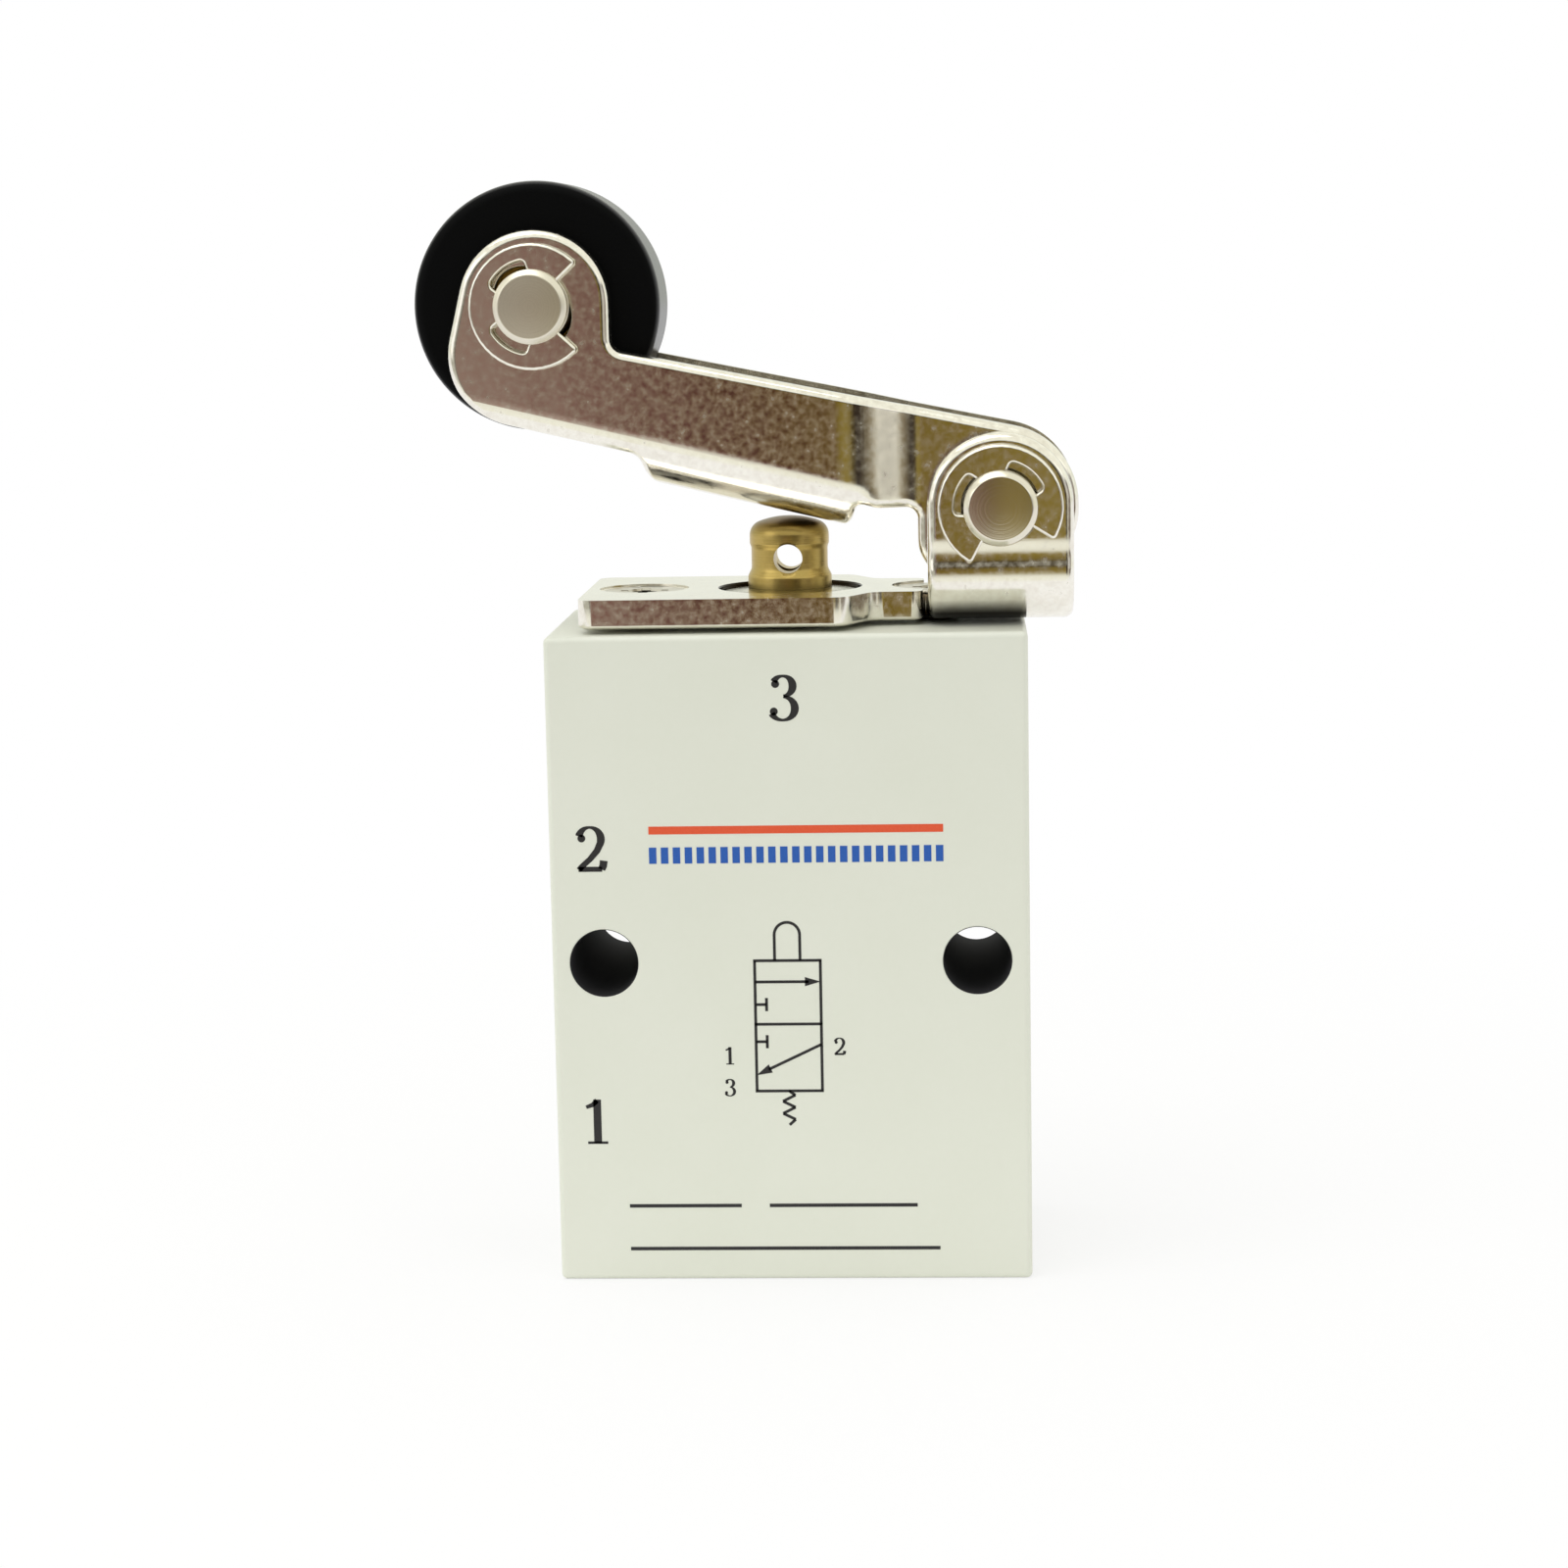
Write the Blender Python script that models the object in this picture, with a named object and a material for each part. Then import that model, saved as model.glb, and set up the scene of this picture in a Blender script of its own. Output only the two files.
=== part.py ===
"""Roller lever air valve: a small 3/2 poppet valve block, worked by a roller on a pressed steel lever.

The origin is the middle of the back mounting face, halfway between the two mounting holes.
+X points to the lever's pivot, +Y points out of the back face and +Z points up to the roller.
"""

from math import asin, atan2, cos, pi, radians, sin, tan

import bmesh
import bpy
from mathutils import Vector

MM = 0.001

# Fits
SEAT_GAP = 0.3 * MM
PRESS_PLAY = 0.15 * MM
RUNNING_PLAY = 0.1 * MM
ROLLER_SIDE_PLAY = 0.35 * MM
ARM_SIDE_PLAY = 0.3 * MM

# Valve body
BODY_WIDTH = 32.0 * MM
BODY_DEPTH = 18.0 * MM
BODY_HEIGHT = 44.0 * MM
BODY_EDGE = 0.4 * MM
MOUNT_HOLE_DIAMETER = 4.5 * MM
MOUNT_HOLE_EDGE = 3.5 * MM
MOUNT_HOLE_HEIGHT = 22.0 * MM
PORT_DIAMETER = 8.6 * MM
PORT_DEPTH = 7.0 * MM
PORT_CHAMFER = 0.5 * MM
PASSAGE_DIAMETER = 3.0 * MM
OUTLET_HEIGHT = 30.0 * MM
SUPPLY_HEIGHT = 11.0 * MM
SUPPLY_CHAMBER_DIAMETER = 11.0 * MM
OUTLET_CHAMBER_DIAMETER = 8.8 * MM
SEAT_HEIGHT = 19.0 * MM
SEAT_THICKNESS = 1.5 * MM
SEAT_HOLE_DIAMETER = 6.2 * MM

# Bracket that carries the lever
BRACKET_SHEET = 2.0 * MM
BASE_LEFT = 13.8 * MM
BASE_RIGHT = 4.0 * MM
BASE_WIDTH = 16.0 * MM
BASE_CORNER = 1.5 * MM
NECK_LEFT = 5.7 * MM
NECK_WIDTH = 9.4 * MM
NECK_FILLET = 1.3 * MM
EAR_SPREAD = 13.0 * MM
EAR_RADIUS = 4.85 * MM
EAR_BEND = 2.8 * MM
PIVOT_DISTANCE = 14.3 * MM
PIVOT_HEIGHT = 8.0 * MM

# Countersunk screws that hold the bracket
SCREW_SPACING = 20.0 * MM
SCREW_DIAMETER = 2.8 * MM
SCREW_HEAD_DIAMETER = 5.8 * MM
SCREW_HEAD_HEIGHT = 1.5 * MM
SCREW_LENGTH = 8.0 * MM
SCREW_HOLE_RUNOUT = 1.0 * MM
RECESS_LENGTH = 3.2 * MM
RECESS_WIDTH = 0.7 * MM
RECESS_DEPTH = 1.1 * MM

# Guide bush and plunger
BUSH_DIAMETER = 9.4 * MM
BUSH_DEPTH = 10.0 * MM
BUSH_RECESS = 0.3 * MM
BUSH_GROOVE_HEIGHT = 2.5 * MM
PLUNGER_DIAMETER = 5.7 * MM
PLUNGER_HEAD_DIAMETER = 5.4 * MM
PLUNGER_DOME = 6.0 * MM
PLUNGER_SHOULDER = 1.0 * MM
PLUNGER_WAIST_DIAMETER = 5.2 * MM
PLUNGER_WAIST_LENGTH = 1.6 * MM
PLUNGER_FLANGE_PLAY = 0.4 * MM
PLUNGER_FLANGE_THICKNESS = 1.5 * MM
PLUNGER_TUBE_CLEARANCE = 0.8 * MM
PLUNGER_GROOVE_HEIGHT = 3.5 * MM
EXHAUST_BORE_DIAMETER = 1.8 * MM
EXHAUST_HOLE_DIAMETER = 1.95 * MM
EXHAUST_HOLE_DROP = 2.75 * MM
EXHAUST_OPENING = 1.2 * MM

# Seals
GROOVE_DEPTH = 1.0 * MM
GROOVE_WIDTH = 1.3 * MM
SEAL_PLAY = 0.1 * MM

# Poppet and end plug
POPPET_FLOW_GAP = 1.1 * MM
POPPET_THICKNESS = 2.6 * MM
POPPET_STEM_PLAY = 1.35 * MM
POPPET_STEM_LENGTH = 4.2 * MM
POPPET_CUP_DEPTH = 1.2 * MM
POPPET_LIP = 0.6 * MM
POPPET_SEAL_PROUD = 0.3 * MM
PLUG_RECESS = 0.4 * MM
PLUG_THICKNESS = 4.8 * MM
PLUG_SPIGOT_PLAY = 0.65 * MM
PLUG_SPIGOT_HEIGHT = 1.0 * MM
PLUG_GROOVE_HEIGHT = 2.9 * MM
PLUG_SLOT_WIDTH = 1.2 * MM
PLUG_SLOT_DEPTH = 1.2 * MM

# Springs
SPRING_WIRE = 0.7 * MM
PLUNGER_SPRING_TURNS = 6
POPPET_SPRING_INSET = 0.85 * MM
POPPET_SPRING_TURNS = 5

# Lever: a pressed channel, open upwards, pinched in where it enters the bracket
LEVER_SHEET = 1.5 * MM
LEVER_WIDTH = 11.0 * MM
LEVER_BEND = 3.0 * MM
ROLLER_REACH = 30.74 * MM
ROLLER_RISE = 13.6 * MM
ROLLER_END_RADIUS = 5.05 * MM
PIVOT_END_RADIUS = 5.25 * MM
ARM_SLOPE = radians(11.7)
ARM_UNDERSIDE = 0.13 * MM
HEEL_RADIUS = 5.0 * MM
HEEL_STEP = 1.52 * MM
CROOK_RADIUS = 0.9 * MM
WEB_SLOPE = radians(13.55)
WEB_DROP = 3.82 * MM
WEB_LEFT = 22.99 * MM
WEB_RIGHT = 10.58 * MM
WEB_TAPER = 1.06 * MM
JOGGLE_LEFT = 10.9 * MM
JOGGLE_RIGHT = 5.2 * MM
LOBE_LEFT = 5.5 * MM
LOBE_DROP = 4.9 * MM
LOBE_RADIUS = 2.6 * MM
LOBE_REAR_RADIUS = 4.5 * MM

# Pins and their retaining clips
PIN_DIAMETER = 4.9 * MM
PIN_CHAMFER = 0.5 * MM
PIN_GROOVE_DIAMETER = 3.8 * MM
PIN_HEAD_DIAMETER = 7.0 * MM
PIN_HEAD_THICKNESS = 1.1 * MM
PIN_STUB = 0.7 * MM
CLIP_DIAMETER = 8.3 * MM
CLIP_POCKET_DIAMETER = 6.1 * MM
CLIP_THICKNESS = 0.7 * MM
CLIP_PRONG = radians(16)
CLIP_MOUTH = radians(38)
PIVOT_CLIP_TURN = radians(75)
ROLLER_CLIP_TURN = radians(0)

# Roller
ROLLER_DIAMETER = 16.5 * MM
ROLLER_EDGE = 0.5 * MM
ROLLER_ROOM = 0.8 * MM
ROLLER_BUSH_WALL = 1.1 * MM
ROLLER_BUSH_PROUD = 0.1 * MM

# Fineness of round shapes
ROLLER_STEPS = 56
ROUND_STEPS = 40
BORE_STEPS = 32
SEAL_STEPS = 20
SEAL_CORD_STEPS = 8
WIRE_STEPS = 6
COIL_STEPS = 14
CLIP_STEPS = 40
DOME_STEPS = 2
SHOULDER_STEPS = 2
ARC_STEP = radians(11)
SECTION_ARC_STEPS = 5
JOGGLE_STEPS = 6
CUT_MARGIN = 1.0 * MM
JOINT_MARK = 5.0 * MM

# Places that follow from the sizes
AXIS_Y = -BODY_DEPTH / 2
BODY_BOTTOM = -MOUNT_HOLE_HEIGHT
BODY_TOP = BODY_BOTTOM + BODY_HEIGHT
MOUNT_HOLE_SPACING = BODY_WIDTH - 2 * MOUNT_HOLE_EDGE
SEAT_FACE = BODY_BOTTOM + SEAT_HEIGHT
LEDGE_TOP = SEAT_FACE + SEAT_THICKNESS
PLATE_BOTTOM = BODY_TOP + SEAT_GAP
PLATE_TOP = PLATE_BOTTOM + BRACKET_SHEET
BUSH_BOTTOM = BODY_TOP - BUSH_DEPTH
BUSH_TOP = PLATE_TOP - BUSH_RECESS
FLANGE_TOP = BUSH_BOTTOM - SEAT_GAP
FLANGE_BOTTOM = FLANGE_TOP - PLUNGER_FLANGE_THICKNESS
SEAL_FACE = SEAT_FACE - SEAT_GAP
POPPET_TOP = SEAL_FACE - POPPET_SEAL_PROUD
POPPET_BOTTOM = POPPET_TOP - POPPET_THICKNESS
PLUG_BOTTOM = BODY_BOTTOM + PLUG_RECESS
PLUG_TOP = PLUG_BOTTOM + PLUG_THICKNESS
PIVOT = Vector((PIVOT_DISTANCE, AXIS_Y, BODY_TOP + PIVOT_HEIGHT))
ROLLER_AXIS = PIVOT + Vector((-ROLLER_REACH, 0, ROLLER_RISE))
PIVOT_END_WIDTH = EAR_SPREAD - 2 * BRACKET_SHEET - 2 * ARM_SIDE_PLAY
ROLLER_WIDTH = LEVER_WIDTH - 2 * LEVER_SHEET - 2 * ROLLER_SIDE_PLAY
UPPER_BORE_DIAMETER = BUSH_DIAMETER + 2 * PRESS_PLAY
BUSH_BORE_DIAMETER = PLUNGER_DIAMETER + 2 * RUNNING_PLAY
PLUNGER_FLANGE_DIAMETER = OUTLET_CHAMBER_DIAMETER - 2 * PLUNGER_FLANGE_PLAY
PLUNGER_TUBE_DIAMETER = SEAT_HOLE_DIAMETER - 2 * PLUNGER_TUBE_CLEARANCE
PLUNGER_SPRING_DIAMETER = (PLUNGER_TUBE_DIAMETER + OUTLET_CHAMBER_DIAMETER) / 2
POPPET_DIAMETER = SUPPLY_CHAMBER_DIAMETER - 2 * POPPET_FLOW_GAP
POPPET_SPRING_DIAMETER = POPPET_DIAMETER - 2 * POPPET_SPRING_INSET - SPRING_WIRE
POPPET_STEM_DIAMETER = POPPET_SPRING_DIAMETER - SPRING_WIRE - 2 * POPPET_STEM_PLAY
PLUG_SPIGOT_DIAMETER = POPPET_SPRING_DIAMETER - SPRING_WIRE - 2 * PLUG_SPIGOT_PLAY
PIN_HOLE_DIAMETER = PIN_DIAMETER + 2 * RUNNING_PLAY
SCREW_HOLE_DIAMETER = SCREW_DIAMETER + 2 * PRESS_PLAY
PLUG_DIAMETER = SUPPLY_CHAMBER_DIAMETER - 2 * PRESS_PLAY


def web_height(x):
    """Height of the underside of the lever's web, or of its line carried on, at x."""
    return PIVOT.z - WEB_DROP - tan(WEB_SLOPE) * (x - PIVOT.x)


def arm_height(x):
    """Height of the lever's top edge at x: a line that meets the round pivot end."""
    return PIVOT.z + PIVOT_END_RADIUS / cos(ARM_SLOPE) - tan(ARM_SLOPE) * (x - PIVOT.x)


# The domed plunger stands just clear of the sloping web above it.
DOME_CENTRE = web_height(0) - (PLUNGER_DOME + SEAT_GAP) / cos(WEB_SLOPE)
PLUNGER_TOP = DOME_CENTRE + PLUNGER_DOME
EXHAUST_HOLE = PLUNGER_TOP - EXHAUST_HOLE_DROP


def make_material(name, colour, roughness, metallic):
    material = bpy.data.materials.new(name)
    material.use_nodes = True
    surface = material.node_tree.nodes["Principled BSDF"]
    surface.inputs["Base Color"].default_value = (*colour, 1)
    surface.inputs["Roughness"].default_value = roughness
    surface.inputs["Metallic"].default_value = metallic
    return material


def finish_mesh(name, shape, material=None, cutter=False):
    """Turn a bmesh into an object with its faces pointing out and its round sides smooth."""
    bmesh.ops.remove_doubles(shape, verts=shape.verts, dist=0.0001 * MM)
    bmesh.ops.recalc_face_normals(shape, faces=shape.faces)
    mesh = bpy.data.meshes.new(name)
    shape.to_mesh(mesh)
    shape.free()
    piece = bpy.data.objects.new(name, mesh)
    bpy.context.scene.collection.objects.link(piece)
    if cutter:
        piece.hide_render = True
        piece.display_type = "WIRE"
    else:
        mesh.shade_smooth()
        mesh.set_sharp_from_angle(angle=radians(30))
        mesh.materials.append(material)
    return piece


def rounded(corners):
    """Outline points of (x, y, radius) corners, each turned into an arc that its sides have room for."""
    count = len(corners)
    points = [Vector(corner[:2]) for corner in corners]
    back = [points[i - 1] - points[i] for i in range(count)]
    ahead = [points[(i + 1) % count] - points[i] for i in range(count)]
    halves = [back[i].angle(ahead[i]) / 2 for i in range(count)]
    runs = [corners[i][2] / tan(halves[i]) for i in range(count)]
    room = []
    for i in range(count):
        wanted = runs[i] + runs[(i + 1) % count]
        room.append(min(1, 0.99 * ahead[i].length / wanted) if wanted else 1)
    outline = []
    for i in range(count):
        run = runs[i] * min(room[i - 1], room[i])
        if not run:
            outline.append(points[i])
            continue
        radius = run * tan(halves[i])
        middle = (back[i].normalized() + ahead[i].normalized()).normalized()
        centre = points[i] + middle * radius / sin(halves[i])
        start = points[i] + back[i].normalized() * run - centre
        end = points[i] + ahead[i].normalized() * run - centre
        sweep = start.angle_signed(end)
        steps = max(1, round(abs(sweep) / ARC_STEP))
        first = atan2(start.y, start.x)
        for step in range(steps + 1):
            turn = first - sweep * step / steps
            outline.append(centre + radius * Vector((cos(turn), sin(turn))))
    return outline


def extruded(name, outline, low, high, across="Z", **finish):
    """An outline pushed along Z, as (x, y) points, along Y, as (x, z), or along X, as (y, z)."""

    def place(point, depth):
        if across == "Z":
            return point[0], point[1], depth
        if across == "Y":
            return point[0], depth, point[1]
        return depth, point[0], point[1]

    shape = bmesh.new()
    rim = [shape.verts.new(place(point, low)) for point in outline]
    face = shape.faces.new(rim)
    pushed = bmesh.ops.extrude_face_region(shape, geom=[face])["geom"]
    top = [item for item in pushed if isinstance(item, bmesh.types.BMVert)]
    push = Vector(place((0, 0), high - low))
    bmesh.ops.translate(shape, verts=top, vec=push)
    return finish_mesh(name, shape, **finish)


def turned(name, profile, place=(0, 0, 0), along="Z", steps=ROUND_STEPS, **finish):
    """A solid turned about its own Z from a loop of (radius, height), set at place along Z, Y or X."""
    shape = bmesh.new()
    loop = [shape.verts.new((radius, 0, height)) for radius, height in profile]
    edges = [shape.edges.new((loop[i - 1], loop[i])) for i in range(len(loop))]
    edges = [edge for edge in edges if any(vert.co.x > 0 for vert in edge.verts)]
    bmesh.ops.spin(
        shape, geom=edges, cent=(0, 0, 0), axis=(0, 0, 1), angle=2 * pi, steps=steps, use_merge=True
    )
    bmesh.ops.delete(shape, geom=[e for e in shape.edges if e.is_wire], context="EDGES")
    piece = finish_mesh(name, shape, **finish)
    piece.location = place
    piece.rotation_euler = {"Z": (0, 0, 0), "Y": (-pi / 2, 0, 0), "X": (0, pi / 2, 0)}[along]
    return piece


def rod(name, radius, low, high, place, along, steps=BORE_STEPS):
    """A plain round cutter."""
    profile = [(0, low), (radius, low), (radius, high), (0, high)]
    return turned(name, profile, place, along, steps, cutter=True)


def box(name, low, high):
    """A square-cornered cutter."""
    outline = [(low[0], low[1]), (high[0], low[1]), (high[0], high[1]), (low[0], high[1])]
    return extruded(name, outline, low[2], high[2], cutter=True)


def combine(piece, operation, *tools):
    for tool in tools:
        step = piece.modifiers.new(tool.name, "BOOLEAN")
        step.operation = operation
        step.solver = "EXACT"
        step.object = tool


def coil(name, diameter, low, high, turns, material):
    """A compression spring standing on the valve's axis between two heights."""
    wire_radius = SPRING_WIRE / 2
    rise = high - low - SPRING_WIRE
    shape = bmesh.new()
    rings = []
    total = turns * COIL_STEPS
    for step in range(total + 1):
        turn = 2 * pi * step / COIL_STEPS
        height = low + wire_radius + rise * step / total
        ring = []
        for side in range(WIRE_STEPS):
            around = 2 * pi * side / WIRE_STEPS
            reach = diameter / 2 + wire_radius * cos(around)
            rise_of_side = wire_radius * sin(around)
            ring.append(shape.verts.new((reach * cos(turn), reach * sin(turn), height + rise_of_side)))
        rings.append(ring)
    for first, second in zip(rings, rings[1:]):
        for side in range(WIRE_STEPS):
            after = (side + 1) % WIRE_STEPS
            shape.faces.new((first[side], first[after], second[after], second[side]))
    shape.faces.new(rings[0])
    shape.faces.new(rings[-1])
    piece = finish_mesh(name, shape, material)
    piece.location = (0, AXIS_Y, 0)
    return piece


def o_ring(name, inner_wall, outer_wall, height, material):
    """A ring of round cord between two round walls, on the valve's axis."""
    cord = (outer_wall - inner_wall) / 2 - SEAL_PLAY
    middle = (outer_wall + inner_wall) / 2
    profile = []
    for step in range(SEAL_CORD_STEPS):
        turn = 2 * pi * step / SEAL_CORD_STEPS
        profile.append((middle + cord * cos(turn), cord * sin(turn)))
    return turned(name, profile, (0, AXIS_Y, height), steps=SEAL_STEPS, material=material)


def groove(outer, bottom_height):
    """Profile points of a seal groove in a turned wall, from its lower edge to its upper one."""
    inner = outer - GROOVE_DEPTH
    low = bottom_height
    high = bottom_height + GROOVE_WIDTH
    return [(outer, low), (inner, low), (inner, high), (outer, high)]


def pin(name, place, front, back, material):
    """A headed pin along Y. Its head bears on the back plate and its groove lies before the front one."""
    radius = PIN_DIAMETER / 2
    neck = PIN_GROOVE_DIAMETER / 2
    head_front = back + SEAT_GAP
    head_back = head_front + PIN_HEAD_THICKNESS
    groove_back = front - SEAT_GAP + RUNNING_PLAY
    groove_front = groove_back - CLIP_THICKNESS - 2 * RUNNING_PLAY
    tip = groove_front - PIN_STUB
    profile = [
        (0, tip),
        (radius - PIN_CHAMFER, tip),
        (radius, tip + PIN_CHAMFER),
        (radius, groove_front),
        (neck, groove_front),
        (neck, groove_back),
        (radius, groove_back),
        (radius, head_front),
        (PIN_HEAD_DIAMETER / 2, head_front),
        (PIN_HEAD_DIAMETER / 2, head_back),
        (0, head_back),
    ]
    return turned(name, profile, place, "Y", material=material)


def e_clip(name, place, front, turn, material):
    """A snap ring with three prongs in the pin's groove, its mouth at a clockwise turn from +X."""
    prong = PIN_GROOVE_DIAMETER / 2 + RUNNING_PLAY
    pocket = CLIP_POCKET_DIAMETER / 2
    outer = CLIP_DIAMETER / 2
    prongs = (CLIP_MOUTH, pi, 2 * pi - CLIP_MOUTH)
    inside = []
    outside = []
    for step in range(CLIP_STEPS + 1):
        at = CLIP_MOUTH + (2 * pi - 2 * CLIP_MOUTH) * step / CLIP_STEPS
        near_prong = min(abs(at - middle) for middle in prongs) < CLIP_PRONG
        reach = prong if near_prong else pocket
        inside.append((reach * cos(at + turn), reach * sin(at + turn)))
        outside.append((outer * cos(at + turn), outer * sin(at + turn)))
    high = front - SEAT_GAP
    piece = extruded(name, inside + outside[::-1], high - CLIP_THICKNESS, high, material=material)
    piece.location = place
    piece.rotation_euler = (-pi / 2, 0, 0)
    return piece


def channel_section(half_width, sheet, bend, bottom, top):
    """(y, z) points of a U of bent sheet about the valve's middle plane, open upwards."""
    corner = half_width - bend
    outer = []
    inner = []
    for step in range(SECTION_ARC_STEPS + 1):
        turn = pi / 2 * step / SECTION_ARC_STEPS
        outer.append((corner + bend * cos(turn), bottom + bend - bend * sin(turn)))
        inner.append((corner + (bend - sheet) * cos(turn), bottom + bend - (bend - sheet) * sin(turn)))
    right = [(half_width, top)] + outer
    right_inner = [(half_width - sheet, top)] + inner
    left = [(-y, z) for y, z in right[::-1]]
    left_inner = [(-y, z) for y, z in right_inner]
    points = right + left + left_inner + right_inner[::-1]
    return [(AXIS_Y + y, z) for y, z in points]


def make_valve_body(material):
    shape = bmesh.new()
    bmesh.ops.create_cube(shape, size=1)
    bmesh.ops.scale(shape, verts=shape.verts, vec=(BODY_WIDTH, BODY_DEPTH, BODY_HEIGHT))
    middle = Vector((0, AXIS_Y, (BODY_BOTTOM + BODY_TOP) / 2))
    bmesh.ops.translate(shape, verts=shape.verts, vec=middle)
    bmesh.ops.bevel(shape, geom=shape.edges, offset=BODY_EDGE, segments=2, profile=0.5, affect="EDGES")
    body = finish_mesh("valve_body", shape, material)
    for side in (-1, 1):
        combine(
            body,
            "DIFFERENCE",
            rod(
                "cut_mounting_hole",
                MOUNT_HOLE_DIAMETER / 2,
                -BODY_DEPTH - CUT_MARGIN,
                CUT_MARGIN,
                (side * MOUNT_HOLE_SPACING / 2, 0, 0),
                "Y",
            ),
            rod(
                "cut_screw_hole",
                SCREW_HOLE_DIAMETER / 2,
                PLATE_TOP - SCREW_LENGTH - SCREW_HOLE_RUNOUT,
                BODY_TOP + CUT_MARGIN,
                (side * SCREW_SPACING / 2, AXIS_Y, 0),
                "Z",
            ),
        )
    supply = SUPPLY_CHAMBER_DIAMETER / 2
    seat = SEAT_HOLE_DIAMETER / 2
    outlet = OUTLET_CHAMBER_DIAMETER / 2
    upper = UPPER_BORE_DIAMETER / 2
    shoulder = BUSH_BOTTOM - SEAT_GAP
    stepped_bore = [
        (0, BODY_BOTTOM - CUT_MARGIN),
        (supply, BODY_BOTTOM - CUT_MARGIN),
        (supply, SEAT_FACE),
        (seat, SEAT_FACE),
        (seat, LEDGE_TOP),
        (outlet, LEDGE_TOP),
        (outlet, shoulder),
        (upper, shoulder),
        (upper, BODY_TOP + CUT_MARGIN),
        (0, BODY_TOP + CUT_MARGIN),
    ]
    bore = turned("cut_bore", stepped_bore, (0, AXIS_Y, 0), steps=BORE_STEPS, cutter=True)
    combine(body, "DIFFERENCE", bore)
    port = PORT_DIAMETER / 2
    passage = PASSAGE_DIAMETER / 2
    for name, height in (("outlet", OUTLET_HEIGHT), ("supply", SUPPLY_HEIGHT)):
        mouth = -BODY_WIDTH / 2
        profile = [
            (0, mouth - CUT_MARGIN),
            (port + PORT_CHAMFER + CUT_MARGIN, mouth - CUT_MARGIN),
            (port, mouth + PORT_CHAMFER),
            (port, mouth + PORT_DEPTH),
            (passage, mouth + PORT_DEPTH),
            (passage, -seat),
            (0, -seat),
        ]
        place = (0, AXIS_Y, BODY_BOTTOM + height)
        combine(
            body,
            "DIFFERENCE",
            turned("cut_port_" + name, profile, place, "X", BORE_STEPS, cutter=True),
        )
    return body


def make_bracket(material):
    """Base plate with an S-curved neck, ending in two ears bent up round the lever."""
    ear_left = PIVOT.x - EAR_RADIUS
    ear_right = PIVOT.x + EAR_RADIUS
    ear_top = PIVOT.z + EAR_RADIUS
    section = channel_section(EAR_SPREAD / 2, BRACKET_SHEET, EAR_BEND, PLATE_BOTTOM, ear_top + CUT_MARGIN)
    bracket = extruded("lever_bracket", section, ear_left, ear_right, "X", material=material)
    ear_profile = rounded(
        [
            (ear_left - CUT_MARGIN, PLATE_BOTTOM - CUT_MARGIN, 0),
            (ear_right + CUT_MARGIN, PLATE_BOTTOM - CUT_MARGIN, 0),
            (ear_right + CUT_MARGIN, PIVOT.z, 0),
            (ear_right, PIVOT.z, 0),
            (ear_right, ear_top, EAR_RADIUS),
            (ear_left, ear_top, EAR_RADIUS),
            (ear_left, PIVOT.z, 0),
            (ear_left - CUT_MARGIN, PIVOT.z, 0),
        ]
    )
    reach = EAR_SPREAD / 2 + CUT_MARGIN
    ears = extruded("trim_ears", ear_profile, AXIS_Y - reach, AXIS_Y + reach, "Y", cutter=True)
    combine(bracket, "INTERSECT", ears)
    base = BASE_WIDTH / 2
    neck = NECK_WIDTH / 2
    tongue = EAR_SPREAD / 2 - EAR_BEND
    half = [
        (-BASE_LEFT, -base, BASE_CORNER),
        (BASE_RIGHT, -base, NECK_FILLET),
        (NECK_LEFT, -neck, NECK_FILLET),
        (ear_left, -neck, 0),
        (ear_left, -tongue, 0),
        (ear_left + tongue, -tongue, 0),
    ]
    mirrored = [(x, -y, radius) for x, y, radius in half[::-1]]
    plan = [(x, AXIS_Y + y) for x, y in rounded(half + mirrored)]
    combine(bracket, "UNION", extruded("add_base", plan, PLATE_BOTTOM, PLATE_TOP, cutter=True))
    hole = SCREW_HOLE_DIAMETER / 2
    head = SCREW_HEAD_DIAMETER / 2 + PRESS_PLAY
    countersink = [
        (0, PLATE_BOTTOM - CUT_MARGIN),
        (hole, PLATE_BOTTOM - CUT_MARGIN),
        (hole, PLATE_TOP - SCREW_HEAD_HEIGHT - PRESS_PLAY),
        (head, PLATE_TOP - PRESS_PLAY),
        (head, PLATE_TOP + CUT_MARGIN),
        (0, PLATE_TOP + CUT_MARGIN),
    ]
    for side in (-1, 1):
        place = (side * SCREW_SPACING / 2, AXIS_Y, 0)
        combine(
            bracket,
            "DIFFERENCE",
            turned("cut_countersink", countersink, place, steps=BORE_STEPS, cutter=True),
        )
    combine(
        bracket,
        "DIFFERENCE",
        rod(
            "cut_plate_bore",
            UPPER_BORE_DIAMETER / 2,
            PLATE_BOTTOM - CUT_MARGIN,
            PLATE_TOP + CUT_MARGIN,
            (0, AXIS_Y, 0),
            "Z",
        ),
        rod("cut_pivot_hole", PIN_HOLE_DIAMETER / 2, -reach, reach, PIVOT, "Y"),
    )
    return bracket


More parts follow.
